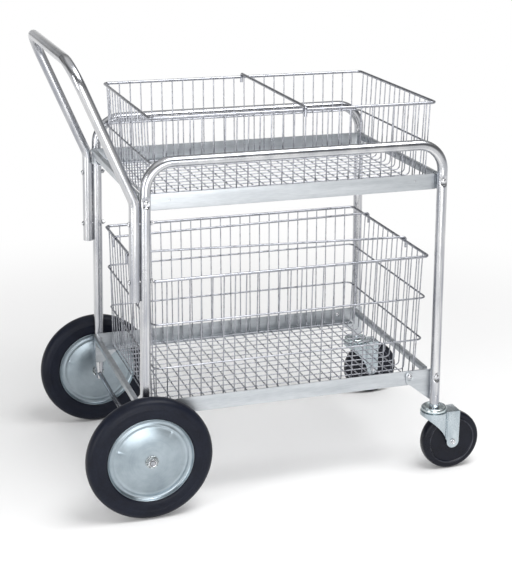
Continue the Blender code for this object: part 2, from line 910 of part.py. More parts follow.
def caster_stem(name, side):
    """Stem in the leg, its collar, and the kingpin that carries the raceway and the fork."""
    bottom = crown_bottom - gap
    collar_radius = tube_radius
    profile = [
        (0, front_foot_height + stem_length),
        (stem_radius, front_foot_height + stem_length),
        (stem_radius, front_foot_height - gap),
        (collar_radius, front_foot_height - gap),
        (collar_radius, raceway_top + gap),
        (kingpin_radius, raceway_top + gap),
        (kingpin_radius, bottom),
        (kingpin_head_radius, bottom),
        (kingpin_head_radius, bottom - kingpin_head_height),
        (0, bottom - kingpin_head_height),
    ]
    place = Matrix.Translation((caster_axis_x, side * half_spacing, 0))
    return keep(smooth(turned(name, profile, fastener_sides, place)), "zinc_caster")


def caster_raceway(name, side):
    inner = bore(kingpin_radius, gap, raceway_steps)
    profile = [
        (raceway_radius, raceway_top - raceway_dish),
        (raceway_radius, raceway_bottom),
        (inner, raceway_bottom),
        (inner, raceway_top),
        (tube_radius * 1.15, raceway_top),
        (tube_radius * 1.6, raceway_top - raceway_dish * 1.6),
        (raceway_radius - raceway_dish, raceway_top - raceway_dish * 1.6),
    ]
    place = Matrix.Translation((caster_axis_x, side * half_spacing, 0))
    return keep(smooth(turned(name, profile, raceway_steps, place)), "zinc_caster")


def caster_fork(name, side):
    y = side * half_spacing
    strap = fork_strap_half
    outer = fork_half + fork_sheet
    nose = math.degrees(math.asin(outer / crown_radius))
    crown = [
        *[(caster_axis_x + px, y + py) for px, py in arc((0, 0), crown_radius, nose, 360 - nose, 8)],
        (caster_wheel_x + strap, y - outer),
        (caster_wheel_x + strap, y + outer),
    ]
    fork = plate(name, [crown], fork_sheet, Matrix.Translation((0, 0, (crown_top + crown_bottom) / 2)))
    cheek = [
        (caster_axis_x - fork_web_reach, crown_bottom + fork_sheet / 2),
        *arc((caster_wheel_x, caster_radius), strap, 215, 360, 4),
        (caster_wheel_x + strap, crown_bottom + fork_sheet / 2),
    ]
    for way in (-1, 1):
        place = Matrix.Translation((0, y + way * (fork_half + fork_sheet / 2), 0))
        sheet = plate(name + "_cheek", [cheek], fork_sheet, place @ Matrix.Rotation(math.pi / 2, 4, "X"))
        join(fork, sheet)
    ends = [(caster_wheel_x, y - outer - cut_overrun, caster_radius)]
    ends.append((caster_wheel_x, y + outer + cut_overrun, caster_radius))
    cut(fork, rod(name + "_axle_hole", *ends, bore(caster_bolt_radius, gap)))
    ends = [(caster_axis_x, y, crown_bottom - cut_overrun), (caster_axis_x, y, crown_top + cut_overrun)]
    cut(fork, rod(name + "_pin_hole", *ends, bore(kingpin_radius, gap)))
    return keep(smooth(fork), "zinc_caster", (caster_axis_x, y, crown_top))


def caster_centre(side):
    return Vector((caster_wheel_x, side * half_spacing, caster_radius))


def caster_axis(side):
    return Matrix.Translation(caster_centre(side)) @ along((0, side, 0))


def caster_wheel(name, side):
    half = caster_width / 2
    ring = caster_radius * caster_ring_share
    hub_edge = caster_radius * caster_hub_share
    inner = bore(caster_bolt_radius, caster_bore_clearance, caster_steps)
    face = [
        (inner, half),
        (hub_edge, half - caster_recess),
        (ring - caster_recess, half - caster_recess),
        (ring, half),
        (caster_radius - caster_shoulder, half * 0.94),
        (caster_radius - caster_shoulder * 0.25, half * 0.62),
        (caster_radius, 0),
    ]
    back = [(r, -h) for r, h in face[-2::-1]]
    made = turned(name, face + back, caster_steps, caster_axis(side))
    return keep(smooth(made, math.radians(40)), "hard_rubber", caster_centre(side))


def caster_bolt(name, side):
    outer = fork_half + fork_sheet + gap
    end = outer + nut_height + bolt_end
    profile = [
        (0, outer + caster_bolt_head_height),
        (caster_bolt_head_radius * 0.7, outer + caster_bolt_head_height),
        (caster_bolt_head_radius, outer + caster_bolt_head_height / 2),
        (caster_bolt_head_radius, outer),
        (caster_bolt_radius, outer),
        (caster_bolt_radius, -end),
        (0, -end),
    ]
    made = turned(name, profile, fastener_sides, caster_axis(side))
    return keep(smooth(made), "zinc_fastener", caster_centre(side))


def caster_nut(name, side):
    outer = fork_half + fork_sheet + gap
    radius = nut_across_flats * 1.3 / 2 / math.cos(math.pi / 6)
    y = side * half_spacing
    start = (caster_wheel_x, y - side * outer, caster_radius)
    end = (caster_wheel_x, y - side * (outer + nut_height), caster_radius)
    nut = rod(name, start, end, radius, 6)
    ends = [(caster_wheel_x, y - side * (outer - cut_overrun), caster_radius)]
    ends.append((caster_wheel_x, y - side * (outer + nut_height + cut_overrun), caster_radius))
    cut(nut, rod(name + "_thread", *ends, bore(caster_bolt_radius, gap)))
    return keep(smooth(nut), "zinc_fastener", caster_centre(side))


# The whole cart

for word, side in sides.items():
    side_frame("side_frame_" + word, side)
push_handle()
for word, side in sides.items():
    for place, height in zip(("lower", "upper"), handle_bolt_heights):
        handle_bolt(f"handle_bolt_{place}_{word}", side, height)
        handle_nut(f"handle_nut_{place}_{word}", side, height)

for level in ("upper", "lower"):
    deck_frame(level)
    basket(level)
divider()
for word, rear_y, front_y in zip(("left", "right"), file_rod_rear_places, file_rod_front_places):
    file_rod("file_rod_" + word, rear_y, front_y)

leg_face = half_spacing + tube_radius * (1 - press_share) + gap
gusset_face = half_spacing - tube_radius
for word, side in sides.items():
    upper_inner = deck_half_widths["upper"] - deck_sheet - gap
    lower_inner = deck_half_widths["lower"] - deck_sheet - gap
    for end_word, place in zip(("rear", "front"), rivet_places("upper")):
        rivet(f"upper_rivet_{end_word}_{word}", side, place, leg_face, upper_inner)
    for end_word, end in (("rear", -1), ("front", 1)):
        gusset(f"gusset_{end_word}_{word}", side, end)
        leg_x = front_leg_x if end > 0 else rear_leg_x
        place = (leg_x(lower_rivet_height), lower_rivet_height)
        inner = lower_inner if end < 0 else gusset_face - gusset_sheet - 2 * gap
        rivet(f"leg_rivet_{end_word}_{word}", side, place, leg_face, inner)
        place = (place[0] - end * gusset_bolt_reach, place[1])
        rivet(f"gusset_rivet_{end_word}_{word}", side, place, gusset_face, lower_inner)

rear_axle()
for word, side in sides.items():
    tyre("rear_tyre_" + word, side)
    disc("wheel_disc_outer_" + word, side, 1)
    disc("wheel_disc_inner_" + word, side, -1)
    hub("wheel_hub_" + word, side)
    axle_cap("axle_cap_" + word, side)
    caster_stem("caster_stem_" + word, side)
    caster_raceway("caster_raceway_" + word, side)
    caster_fork("caster_fork_" + word, side)
    caster_wheel("caster_wheel_" + word, side)
    caster_bolt("caster_bolt_" + word, side)
    caster_nut("caster_nut_" + word, side)
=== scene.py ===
import math

import bpy
from mathutils import Matrix, Vector


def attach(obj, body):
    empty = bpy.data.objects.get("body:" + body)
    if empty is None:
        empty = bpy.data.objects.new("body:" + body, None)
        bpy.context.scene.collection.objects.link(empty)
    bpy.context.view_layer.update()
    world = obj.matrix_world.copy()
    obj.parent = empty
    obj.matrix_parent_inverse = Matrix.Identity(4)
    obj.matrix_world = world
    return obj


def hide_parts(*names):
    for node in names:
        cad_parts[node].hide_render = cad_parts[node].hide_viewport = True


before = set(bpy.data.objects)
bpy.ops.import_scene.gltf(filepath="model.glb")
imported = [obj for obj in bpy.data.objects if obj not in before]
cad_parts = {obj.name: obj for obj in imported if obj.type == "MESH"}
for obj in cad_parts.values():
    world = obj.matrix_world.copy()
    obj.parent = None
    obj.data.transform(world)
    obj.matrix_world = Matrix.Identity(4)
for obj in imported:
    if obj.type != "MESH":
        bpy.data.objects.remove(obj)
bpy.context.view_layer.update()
print("frame loaded")

# The cart's own places, in metres
cart = {
    "rearX": -0.348068,  # a rear leg's axis at lean height
    "legSpacing": 0.734,
    "halfWidth": 0.263,  # middle of the cart to the plane of a side frame
    "leanHeight": 0.75,
    "lean": 0.0167,
    "railHeight": 0.853,
    "tubeRadius": 0.0125,
    "wheelHeight": 0.153,
    "wheelOffset": 0.0397,
    "upperRivetZ": 0.76268,
    "lowerRivetZ": 0.25568,
}
sides = {"right": -1, "left": 1}


def rearLegX(height):
    return cart["rearX"] - cart["lean"] * (cart["leanHeight"] - height)


def frontLegX(height):
    return cart["rearX"] + cart["legSpacing"] + cart["lean"] * (cart["leanHeight"] - height)


# Camera, solved from the photograph's perspective
camera = {
    "place": (-1.04233, -3.14421, 1.54059),
    "azimuth": -18.3937,
    "elevation": 18.047,
    "roll": 0.4433,
    "focalShare": 1358.694 / 512,
    "sensor": 36,
}


def setCamera():
    az, el, roll = (math.radians(camera[k]) for k in ("azimuth", "elevation", "roll"))
    back = Vector((math.sin(az) * math.cos(el), -math.cos(az) * math.cos(el), math.sin(el)))
    right = (-back).cross(Vector((0, 0, 1))).normalized()
    up = right.cross(-back)
    rolledRight = right * math.cos(roll) + up * math.sin(roll)
    rolledUp = up * math.cos(roll) - right * math.sin(roll)
    bpy.ops.object.camera_add(location=camera["place"])
    eye = bpy.context.object
    turn = Matrix((rolledRight, rolledUp, back)).transposed().to_4x4()
    eye.matrix_world = Matrix.Translation(camera["place"]) @ turn
    eye.data.sensor_fit = "HORIZONTAL"
    eye.data.sensor_width = camera["sensor"]
    eye.data.lens = camera["focalShare"] * camera["sensor"]
    bpy.context.scene.camera = eye


setCamera()
bpy.context.scene.view_settings.view_transform = "Standard"
print("camera set")


# Shader sums: a socket that can be added to, multiplied and so on
class Wire:
    def __init__(self, board, socket):
        self.board = board
        self.socket = socket

    def math(self, operation, first, second):
        return self.board.node("ShaderNodeMath", {"operation": operation}, {0: first, 1: second})

    def __add__(self, other):
        return self.math("ADD", self, other)

    def __sub__(self, other):
        return self.math("SUBTRACT", self, other)

    def __rsub__(self, other):
        return self.math("SUBTRACT", other, self)

    def __mul__(self, other):
        return self.math("MULTIPLY", self, other)

    def __truediv__(self, other):
        return self.math("DIVIDE", self, other)

    def __pow__(self, other):
        return self.math("POWER", self, other)

    __radd__ = __add__
    __rmul__ = __mul__


class Board:
    def __init__(self, tree):
        self.tree = tree

    def node(self, kind, settings=None, inputs=None, out=0):
        made = self.tree.nodes.new(kind)
        for key, value in (settings or {}).items():
            if key == "stops":
                self.setStops(made.color_ramp, value)
            else:
                setattr(made, key, value)
        for key, value in (inputs or {}).items():
            if isinstance(value, Wire):
                self.tree.links.new(value.socket, made.inputs[key])
            else:
                made.inputs[key].default_value = value
        return Wire(self, made.outputs[out])

    def setStops(self, ramp, stops):
        while len(ramp.elements) < len(stops):
            ramp.elements.new(0.5)
        for element, (place, colour) in zip(ramp.elements, stops):
            element.position = place
            element.color = (*colour, 1)

    def ramp(self, wire, stops):
        return self.node("ShaderNodeValToRGB", {"stops": stops}, {"Fac": wire})

    def step(self, wire, low, high):
        return self.node(
            "ShaderNodeMapRange",
            {"interpolation_type": "SMOOTHSTEP"},
            {"Value": wire, "From Min": low, "From Max": high},
        )

    def split(self, vector):
        made = self.node("ShaderNodeSeparateXYZ", None, {0: vector})
        return [Wire(self, made.socket.node.outputs[i]) for i in range(3)]


class Paint(Board):
    def __init__(self, name, **fixed):
        self.material = bpy.data.materials.new(name)
        self.material.use_nodes = True
        super().__init__(self.material.node_tree)
        self.shader = self.tree.nodes["Principled BSDF"]
        for socket, value in fixed.items():
            self.shader.inputs[socket.replace("_", " ")].default_value = value

    def feed(self, socket, wire):
        self.tree.links.new(wire.socket, self.shader.inputs[socket])

    def spot(self, centre=(0, 0, 0), scale=(1, 1, 1)):
        coordinates = self.node("ShaderNodeTexCoord", out="Object")
        moved = self.node("ShaderNodeVectorMath", {"operation": "SUBTRACT"}, {0: coordinates, 1: centre})
        return self.node("ShaderNodeVectorMath", {"operation": "MULTIPLY"}, {0: moved, 1: scale})

    def noise(self, vector, scale, detail=3.0, roughness=0.55):
        inputs = {"Vector": vector, "Scale": scale, "Detail": detail, "Roughness": roughness}
        return self.node("ShaderNodeTexNoise", None, inputs)

    def blend(self, share, first, second):
        inputs = {"Factor": share, 6: first, 7: second}
        return self.node("ShaderNodeMix", {"data_type": "RGBA"}, inputs, out=2)

    def bump(self, wire, strength, distance):
        inputs = {"Strength": strength, "Distance": distance, "Height": wire}
        self.feed("Normal", self.node("ShaderNodeBump", None, inputs))


def grey(value):
    return (value, value, value)


# Finishes
def platedPaint(name, dark, light, roughness, stretch, scale, height=0.00005, spread=0.16):
    paint = Paint(name, Metallic=1.0)
    cloud = paint.noise(paint.spot(scale=stretch), scale, 4.0)
    fine = paint.noise(paint.spot(scale=stretch), scale * 9, 2.0)
    mixed = cloud * 0.7 + fine * 0.3
    paint.feed("Base Color", paint.ramp(mixed, [(0.3, dark), (0.7, light)]))
    paint.feed("Roughness", roughness + (mixed - 0.5) * spread)
    paint.bump(fine, 0.35, height)
    return paint.material


def tubePaint(name, dark, light, roughness):
    # a tube's own UV map runs along it and round it, so the painted reflection streaks, light and dark bands round
    # the tube, run lengthwise
    paint = Paint(name, Metallic=1.0)
    along, around, _ = paint.split(paint.node("ShaderNodeTexCoord", out="UV"))
    turn = around * math.tau
    ring = [paint.node("ShaderNodeMath", {"operation": kind}, {0: turn}) * 1.5 for kind in ("COSINE", "SINE")]
    place = paint.node("ShaderNodeCombineXYZ", None, {0: ring[0], 1: ring[1], 2: along * 5})
    # marks holds the painted reflection streaks, light and dark bands round the tube
    marks = paint.noise(place, 1.0, 4.0, 0.65)
    cloud = paint.noise(paint.spot(scale=(1, 1, 0.3)), 30, 4.0)
    mixed = marks * 0.7 + cloud * 0.3
    paint.feed("Base Color", paint.ramp(mixed, [(0.38, dark), (0.62, light)]))
    paint.feed("Roughness", roughness + (cloud - 0.5) * 0.14)
    paint.bump(marks, 0.3, 0.0002)
    return paint.material


def rubberPaint(name, dark, light, roughness, scale, shine, ring=None):
    paint = Paint(name, Metallic=0.0)
    paint.shader.inputs["Specular IOR Level"].default_value = shine
    vector = paint.spot()
    cloud = paint.noise(vector, scale, 5.0, 0.6)
    dust = paint.noise(vector, scale * 14, 2.0)
    mixed = cloud * 0.65 + dust * 0.35
    colour = paint.ramp(mixed, [(0.32, dark), (0.72, light)])
    if ring:
        # the raised ring on a caster wheel's face is painted pale, a painted highlight on the ridge
        centre, radius, half, highlightTone = ring
        across, _, upward = paint.split(paint.spot(centre=centre))
        away = (across * across + upward * upward) ** 0.5 - radius
        gap = paint.node("ShaderNodeMath", {"operation": "ABSOLUTE"}, {0: away})
        share = (1 - paint.step(gap, half * 0.4, half)) * paint.step(cloud, 0.3, 0.7)
        colour = paint.blend(share, colour, (*highlightTone, 1))
    paint.feed("Base Color", colour)
    paint.feed("Roughness", roughness + (cloud - 0.5) * 0.25)
    paint.bump(dust, 0.4, 0.00012)
    return paint.material


def discPaint(name, dark, light, centre, roughness):
    paint = Paint(name, Metallic=1.0)
    vector = paint.spot(centre=centre)
    across, _, upward = paint.split(vector)
    radius = (across * across + upward * upward) ** 0.5
    ring = paint.node("ShaderNodeCombineXYZ", None, {0: radius * 60, 1: across * 2, 2: upward * 2})
    rings = paint.noise(ring, 6.0)
    cloud = paint.noise(vector, 14.0, 4.0)
    mixed = rings * 0.12 + cloud * 0.88
    paint.feed("Base Color", paint.ramp(mixed, [(0.3, dark), (0.7, light)]))
    paint.feed("Roughness", roughness + (mixed - 0.5) * 0.2)
    paint.bump(rings, 0.1, 0.00002)
    return paint.material


tubeFinish = tubePaint("platedTube", (0.34, 0.355, 0.395), (0.71, 0.71, 0.715), 0.23)
sheetFinish = platedPaint("zincSheet", (0.42, 0.45, 0.475), (0.63, 0.655, 0.68), 0.35, (0.12, 1, 1), 45)
wireFinish = platedPaint("brightWire", (0.24, 0.25, 0.28), (0.50, 0.51, 0.55), 0.28, (1, 1, 1), 55)
forkFinish = platedPaint("zincFork", (0.37, 0.43, 0.47), (0.58, 0.64, 0.67), 0.27, (1, 1, 0.5), 40)
cupFinish = platedPaint("zincCup", (0.42, 0.50, 0.52), (0.74, 0.80, 0.81), 0.24, (1, 1, 1), 60)
boltFinish = platedPaint("zincFastener", (0.50, 0.51, 0.53), (0.80, 0.80, 0.82), 0.24, (1, 1, 1), 90)
axleFinish = platedPaint("drawnSteel", (0.20, 0.21, 0.24), (0.50, 0.51, 0.54), 0.22, (1, 0.1, 1), 120)
tyreFinish = rubberPaint("tyreRubber", (0.002, 0.003, 0.008), (0.008, 0.011, 0.022), 0.42, 18, 0.2)
hubFinish = platedPaint("zincHub", (0.24, 0.27, 0.28), (0.60, 0.64, 0.65), 0.22, (1, 1, 1), 70)
print("finishes made")


# Modelling in code
def pickOnly(obj):
    bpy.ops.object.select_all(action="DESELECT")
    obj.select_set(True)
    bpy.context.view_layer.objects.active = obj


def pickFaces(obj, wanted):
    pickOnly(obj)
    bpy.ops.object.mode_set(mode="EDIT")
    bpy.ops.mesh.select_mode(type="FACE")
    bpy.ops.mesh.select_all(action="DESELECT")
    bpy.ops.object.mode_set(mode="OBJECT")
    for face in obj.data.polygons:
        face.select = wanted(face)
    bpy.ops.object.mode_set(mode="EDIT")


def finishPiece(obj, finish, body, slot, *nodes, degrees=40):
    pickOnly(obj)
    bpy.ops.object.shade_smooth_by_angle(angle=math.radians(degrees))
    obj.data.materials.clear()
    obj.data.materials.append(finish)
    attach(obj, body)
    if nodes:
        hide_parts(*nodes)
    return obj


def drawn(name, points):
    # one vertex, extruded from point to point round a closed outline
    bpy.ops.object.select_all(action="DESELECT")
    bpy.ops.mesh.primitive_plane_add(size=0.001)
    obj = bpy.context.object
    obj.name = name
    bpy.ops.object.mode_set(mode="EDIT")
    bpy.ops.mesh.select_mode(type="VERT")
    bpy.ops.mesh.select_all(action="SELECT")
    bpy.ops.mesh.merge(type="CENTER")
    last = Vector(points[0])
    bpy.ops.transform.translate(value=last)
    for point in (*points[1:], points[0]):
        bpy.ops.mesh.extrude_vertices_move(TRANSFORM_OT_translate={"value": Vector(point) - last})
        last = Vector(point)
    bpy.ops.mesh.select_all(action="SELECT")
    bpy.ops.mesh.remove_doubles(threshold=0.00001)
    bpy.ops.object.mode_set(mode="OBJECT")
    return obj


def spun(name, profile, steps):
    # a closed profile of radius and height, turned about Z
    obj = drawn(name, [(r, 0, h) for r, h in profile])
    bpy.ops.object.mode_set(mode="EDIT")
    bpy.ops.mesh.select_all(action="SELECT")
    bpy.ops.mesh.spin(steps=steps, angle=math.tau, center=(0, 0, 0), axis=(0, 0, 1))
    bpy.ops.mesh.select_all(action="SELECT")
    bpy.ops.mesh.remove_doubles(threshold=0.00001)
    bpy.ops.mesh.normals_make_consistent(inside=False)
    bpy.ops.object.mode_set(mode="OBJECT")
    return obj


def sheet(name, outline, depth):
    # a flat outline filled and extruded both ways along Z
    obj = drawn(name, [(x, y, -depth / 2) for x, y in outline])
    bpy.ops.object.mode_set(mode="EDIT")
    bpy.ops.mesh.select_all(action="SELECT")
    bpy.ops.mesh.edge_face_add()
    bpy.ops.mesh.extrude_region_move(TRANSFORM_OT_translate={"value": (0, 0, depth)})
    bpy.ops.mesh.select_all(action="SELECT")
    bpy.ops.mesh.normals_make_consistent(inside=False)
    bpy.ops.object.mode_set(mode="OBJECT")
    return obj


def copied(obj, name):
    pickOnly(obj)
    bpy.ops.object.duplicate(linked=False)
    made = bpy.context.object
    made.name = name
    return made


def put(obj, matrix):
    obj.data.transform(matrix)
    if matrix.determinant() < 0:
        obj.data.flip_normals()
    obj.data.update()
    return obj


def facing(centre, axis):
    turn = Vector((0, 0, 1)).rotation_difference(Vector(axis)).to_matrix().to_4x4()
    return Matrix.Translation(centre) @ turn


def away(*pieces):
    bpy.ops.object.select_all(action="DESELECT")
    for piece in pieces:
        piece.select_set(True)
    bpy.ops.object.delete()


def joined(name, pieces):
    bpy.ops.object.select_all(action="DESELECT")
    for piece in pieces:
        piece.select_set(True)
    bpy.context.view_layer.objects.active = pieces[0]
    if len(pieces) > 1:
        bpy.ops.object.join()
    made = bpy.context.object
    made.name = name
    return made


def modified(obj, kind, **settings):
    pickOnly(obj)
    bpy.ops.object.modifier_add(type=kind)
    modifier = obj.modifiers[-1]
    for key, value in settings.items():
        setattr(modifier, key, value)
    bpy.ops.object.modifier_apply(modifier=modifier.name)
    return obj


def combined(obj, other, operation):
    modified(obj, "BOOLEAN", operation=operation, object=other, solver="EXACT")
    away(other)
    return obj


def cleaned(obj):
    # doubles that the booleans leave are merged and a missing face is filled
    pickOnly(obj)
    bpy.ops.object.mode_set(mode="EDIT")
    bpy.ops.mesh.select_all(action="SELECT")
    bpy.ops.mesh.remove_doubles(threshold=0.00003)
    bpy.ops.mesh.dissolve_degenerate(threshold=0.00003)
    bpy.ops.mesh.select_all(action="SELECT")
    bpy.ops.mesh.fill_holes(sides=8)
    bpy.ops.mesh.select_all(action="SELECT")
    bpy.ops.mesh.normals_make_consistent(inside=False)
    bpy.ops.object.mode_set(mode="OBJECT")
    return obj


def eased(obj, width, segments=2, angle=25):
    return modified(
        obj, "BEVEL", width=width, segments=segments, limit_method="ANGLE", angle_limit=math.radians(angle)
    )


def bent(corners, radii, steps):
    # a path through corners, each bent to its radius
    path = []
    for i, corner in enumerate(corners):
        corner = Vector(corner)
        if radii[i] == 0:
            path.append(corner)
            continue
        before = (Vector(corners[i - 1]) - corner).normalized()
        after = (Vector(corners[(i + 1) % len(corners)]) - corner).normalized()
        half = before.angle(after) / 2
        setback = radii[i] / math.tan(half)
        centre = corner + (before + after).normalized() * (radii[i] / math.sin(half))
        first = corner + before * setback - centre
        last = corner + after * setback - centre
        sweep = first.angle(last)
        for j in range(steps + 1):
            a = math.sin((1 - j / steps) * sweep) / math.sin(sweep)
            b = math.sin(j / steps * sweep) / math.sin(sweep)
            path.append(centre + first * a + last * b)
    return path


def tubed(name, paths, radius, rounds, closed=False):
    bpy.ops.object.select_all(action="DESELECT")
    bpy.ops.curve.primitive_bezier_curve_add()
    obj = bpy.context.object
    obj.name = name
    curve = obj.data
    curve.splines.clear()
    curve.dimensions = "3D"
    curve.bevel_depth = radius
    curve.bevel_resolution = rounds
    curve.use_fill_caps = not closed
    for path in paths:
        spline = curve.splines.new("POLY")
        spline.points.add(len(path) - 1)
        for point, place in zip(spline.points, path):
            point.co = (*place, 1)
        spline.use_cyclic_u = closed
    bpy.ops.object.convert(target="MESH")
    obj = bpy.context.object
    bpy.ops.object.mode_set(mode="EDIT")
    bpy.ops.mesh.select_all(action="SELECT")
    bpy.ops.mesh.remove_doubles(threshold=0.00001)
    bpy.ops.mesh.normals_make_consistent(inside=False)
    bpy.ops.object.mode_set(mode="OBJECT")
    return obj


def smoothstep(share):
    share = max(0.0, min(1.0, share))
    return share * share * (3 - 2 * share)


def arc(centre, radius, start, end, steps):
    angles = [math.radians(start + (end - start) * i / steps) for i in range(steps + 1)]
    return [(centre[0] + radius * math.cos(a), centre[1] + radius * math.sin(a)) for a in angles]


# Side frames
frameShape = {
    "rounds": 22,
    "bendRadius": 0.066,
    "bendSteps": 18,
    "footHeights": (0.139, 0.17),
    "step": 0.009,
    "fineStep": 0.0018,
    "fineHalf": 0.016,
    "seat": 0.008,  # depth of the flat under a rivet's head, from the tube's axis
    "seatRadius": 0.0068,
    "seatEase": 0.008,
    "footTaper": 0.055,
    "footShare": 0.62,
    "bumpHeight": 0.202,
    "bumpRadius": 0.0045,
    "bumpRise": 0.0011,
}


def makeSideFrame(word, side):
    s = frameShape
    y = side * cart["halfWidth"]
    rail = cart["railHeight"]
    rearFoot, frontFoot = s["footHeights"]
    marks = (cart["lowerRivetZ"], cart["upperRivetZ"])

    def heights(low, high, fine):
        height = low
        while height < high - s["fineStep"]:
            yield height
            near = any(abs(height - mark) < s["fineHalf"] for mark in fine)
            height += s["fineStep"] if near else min(s["step"], *(max(s["fineStep"], abs(height - m) - s["fineHalf"]) for m in fine))
        yield high

    top = rail - s["bendRadius"] * 1.05
    rear = [Vector((rearLegX(h), y, h)) for h in heights(rearFoot, top, marks)]
    front = [Vector((frontLegX(h), y, h)) for h in heights(frontFoot, top, (s["bumpHeight"], *marks))][::-1]
    corners = [rear[-1], (rearLegX(rail), y, rail), (frontLegX(rail), y, rail), front[0]]
    bends = bent(corners, [0, s["bendRadius"], s["bendRadius"], 0], s["bendSteps"])
    frameTube = tubed("sideTube_" + word, [[*rear[:-1], *bends, *front[1:]]], cart["tubeRadius"], s["rounds"])
    for vertex in frameTube.data.vertices:
        p = vertex.co
        out = (p.y - y) * side
        legX = rearLegX(p.z) if p.x < 0 else frontLegX(p.z)
        if out > 0 and p.z < top:
            for mark in marks:
                reach = math.hypot(p.x - legX, p.z - mark)
                pressed = smoothstep((s["seatRadius"] + s["seatEase"] - reach) / s["seatEase"])
                out -= max(0, out - s["seat"]) * pressed
            if p.x > 0:
                reach = math.hypot(p.x - legX, p.z - s["bumpHeight"])
                out += s["bumpRise"] * smoothstep((s["bumpRadius"] - reach) / s["bumpRadius"] * 1.4)
            p.y = y + out * side
        rise = (p.z - rearFoot) / s["footTaper"]
        if rise < 1 and p.x < 0:
            p.x = legX + (p.x - legX) * (s["footShare"] + (1 - s["footShare"]) * smoothstep(rise))
    finishPiece(frameTube, tubeFinish, "chassis", "chrome_tube", "side_frame_" + word)


for word, side in sides.items():
    makeSideFrame(word, side)
print("side frames made")

# Push handle
handleShape = {
    "rounds": 12,
    "gripHeight": 1.0815,
    "slope": 0.4224,
    "bendHeight": 0.764,
    "armBend": 0.055,
    "gripBend": 0.066,
    "footHeight": 0.531,
    "wall": 0.002,
    "endDepth": 0.016,
    "bendSteps": 16,
    "gap": 0.0003,
    "topTrim": 0.0003,
    "boltHeights": {"lower": 0.577, "upper": 0.714},
    "boltHead": [(0, 0.0026), (0.0018, 0.00255), (0.0034, 0.0022), (0.0045, 0.0014), (0.005, 0.0005), (0.005, 0)],
    "boltRadius": 0.003,
    "washer": (0.0062, 0.0008),
}


def armX(height):
    return rearLegX(height) - 2 * cart["tubeRadius"] - handleShape["gap"]


def makeHandle():
    s = handleShape
    gripHeight = s["gripHeight"] - s["topTrim"]
    gripX = armX(s["bendHeight"]) - s["slope"] * (gripHeight - s["bendHeight"])
    half = cart["halfWidth"]
    arm = [
        (armX(s["footHeight"]), half, s["footHeight"]),
        (armX(s["bendHeight"]), half, s["bendHeight"]),
        (gripX, half, gripHeight),
    ]
    corners = [(x, -y, z) for x, y, z in arm] + arm[::-1]
    radii = [0, s["armBend"], s["gripBend"], s["gripBend"], s["armBend"], 0]
    handle = tubed("handleTube", [bent(corners, radii, s["bendSteps"])], cart["tubeRadius"], s["rounds"])
    pickFaces(handle, lambda face: len(face.vertices) > 4)
    bpy.ops.mesh.inset(thickness=s["wall"], use_individual=True)
    bpy.ops.mesh.extrude_region_move(TRANSFORM_OT_translate={"value": (0, 0, s["endDepth"])})
    bpy.ops.object.mode_set(mode="OBJECT")
    finishPiece(handle, tubeFinish, "chassis", "chrome_tube", "push_handle")


def makeHandleBolts():
    # a low round head on a washer behind the handle, its shank through both tubes
    s = handleShape
    long = 4 * cart["tubeRadius"] + 3 * s["gap"]
    washerRadius, washerHeight = s["washer"]
    profile = [(r, h + washerHeight) for r, h in s["boltHead"]]
    profile += [(washerRadius, washerHeight), (washerRadius, 0), (s["boltRadius"], 0)]
    profile += [(s["boltRadius"], -long - 0.007), (s["boltRadius"] * 0.7, -long - 0.008), (0, -long - 0.008)]
    bolt = spun("handleBolt", profile, 32)
    for word, side in sides.items():
        for place, height in s["boltHeights"].items():
            made = copied(bolt, f"handleBolt_{place}_{word}")
            x = armX(height) - cart["tubeRadius"] - s["gap"]
            put(made, facing((x, side * cart["halfWidth"], height), (-1, 0, 0)))
            finishPiece(made, boltFinish, "chassis", "zinc_fastener", f"handle_bolt_{place}_{word}")
    away(bolt)


makeHandle()
makeHandleBolts()
print("handle made")

# Decks, gussets and their rivets
deckShape = {
    "tops": {"upper": 0.7775, "lower": 0.2705},
    "halves": {"upper": 0.2502, "lower": 0.2474},
    "depth": 0.039,
    "sheet": 0.002,
    "rearOverhang": 0.016,
    "frontSetback": 0.006,
    "rearRadius": 0.007,
    "frontRadius": 0.01,
    "endDepth": 0.0175,
    "lip": 0.009,
    "lipRound": 0.0035,
    "flange": 0.03,
    "earInset": 0.0015,
    "earReach": 0.0118,
    "ease": 0.0005,
    "dots": ((-0.287, 0.7615), (0.3205, 0.7625)),  # small holes near the ends of the upper aprons
    "dotRadius": 0.0018,
    "fold": 0.0022,  # outer radius of the apron's lower edge, where the flange turns in
    "ringRadius": 0.0103,
    "ringWidth": 0.0011,
    "ringRise": 0.0005,
    "gussetFace": 0.2505,
    "gussetReach": 0.064,
}


def taken(node, name):
    # a copy of a CAD piece, merged
    pickOnly(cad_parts[node])
    bpy.ops.object.duplicate(linked=False)
    obj = bpy.context.object
    obj.name = name
    for extra in list(obj.keys()):
        del obj[extra]
    bpy.ops.object.mode_set(mode="EDIT")
    bpy.ops.mesh.select_all(action="SELECT")
    bpy.ops.mesh.remove_doubles(threshold=0.00001)
    bpy.ops.mesh.dissolve_limited(angle_limit=math.radians(1))
    bpy.ops.object.mode_set(mode="OBJECT")
    return obj


def block(low, high):
    middle = [(a + b) / 2 for a, b in zip(low, high)]
    size = [b - a for a, b in zip(low, high)]
    bpy.ops.object.select_all(action="DESELECT")
    bpy.ops.mesh.primitive_cube_add(size=1, location=middle, scale=size)
    return bpy.context.object


def pin(place, turn, radius, length, sides=24):
    bpy.ops.object.select_all(action="DESELECT")
    bpy.ops.mesh.primitive_cylinder_add(vertices=sides, radius=radius, depth=length, location=place, rotation=turn)
    return bpy.context.object


def roundedRectangle(low, high, rearRadius, frontRadius):
    corners = [(low[0], low[1], 0), (high[0], low[1], 0), (high[0], high[1], 0), (low[0], high[1], 0)]
    return [(p.x, p.y) for p in bent(corners, [rearRadius, frontRadius, frontRadius, rearRadius], 9)]


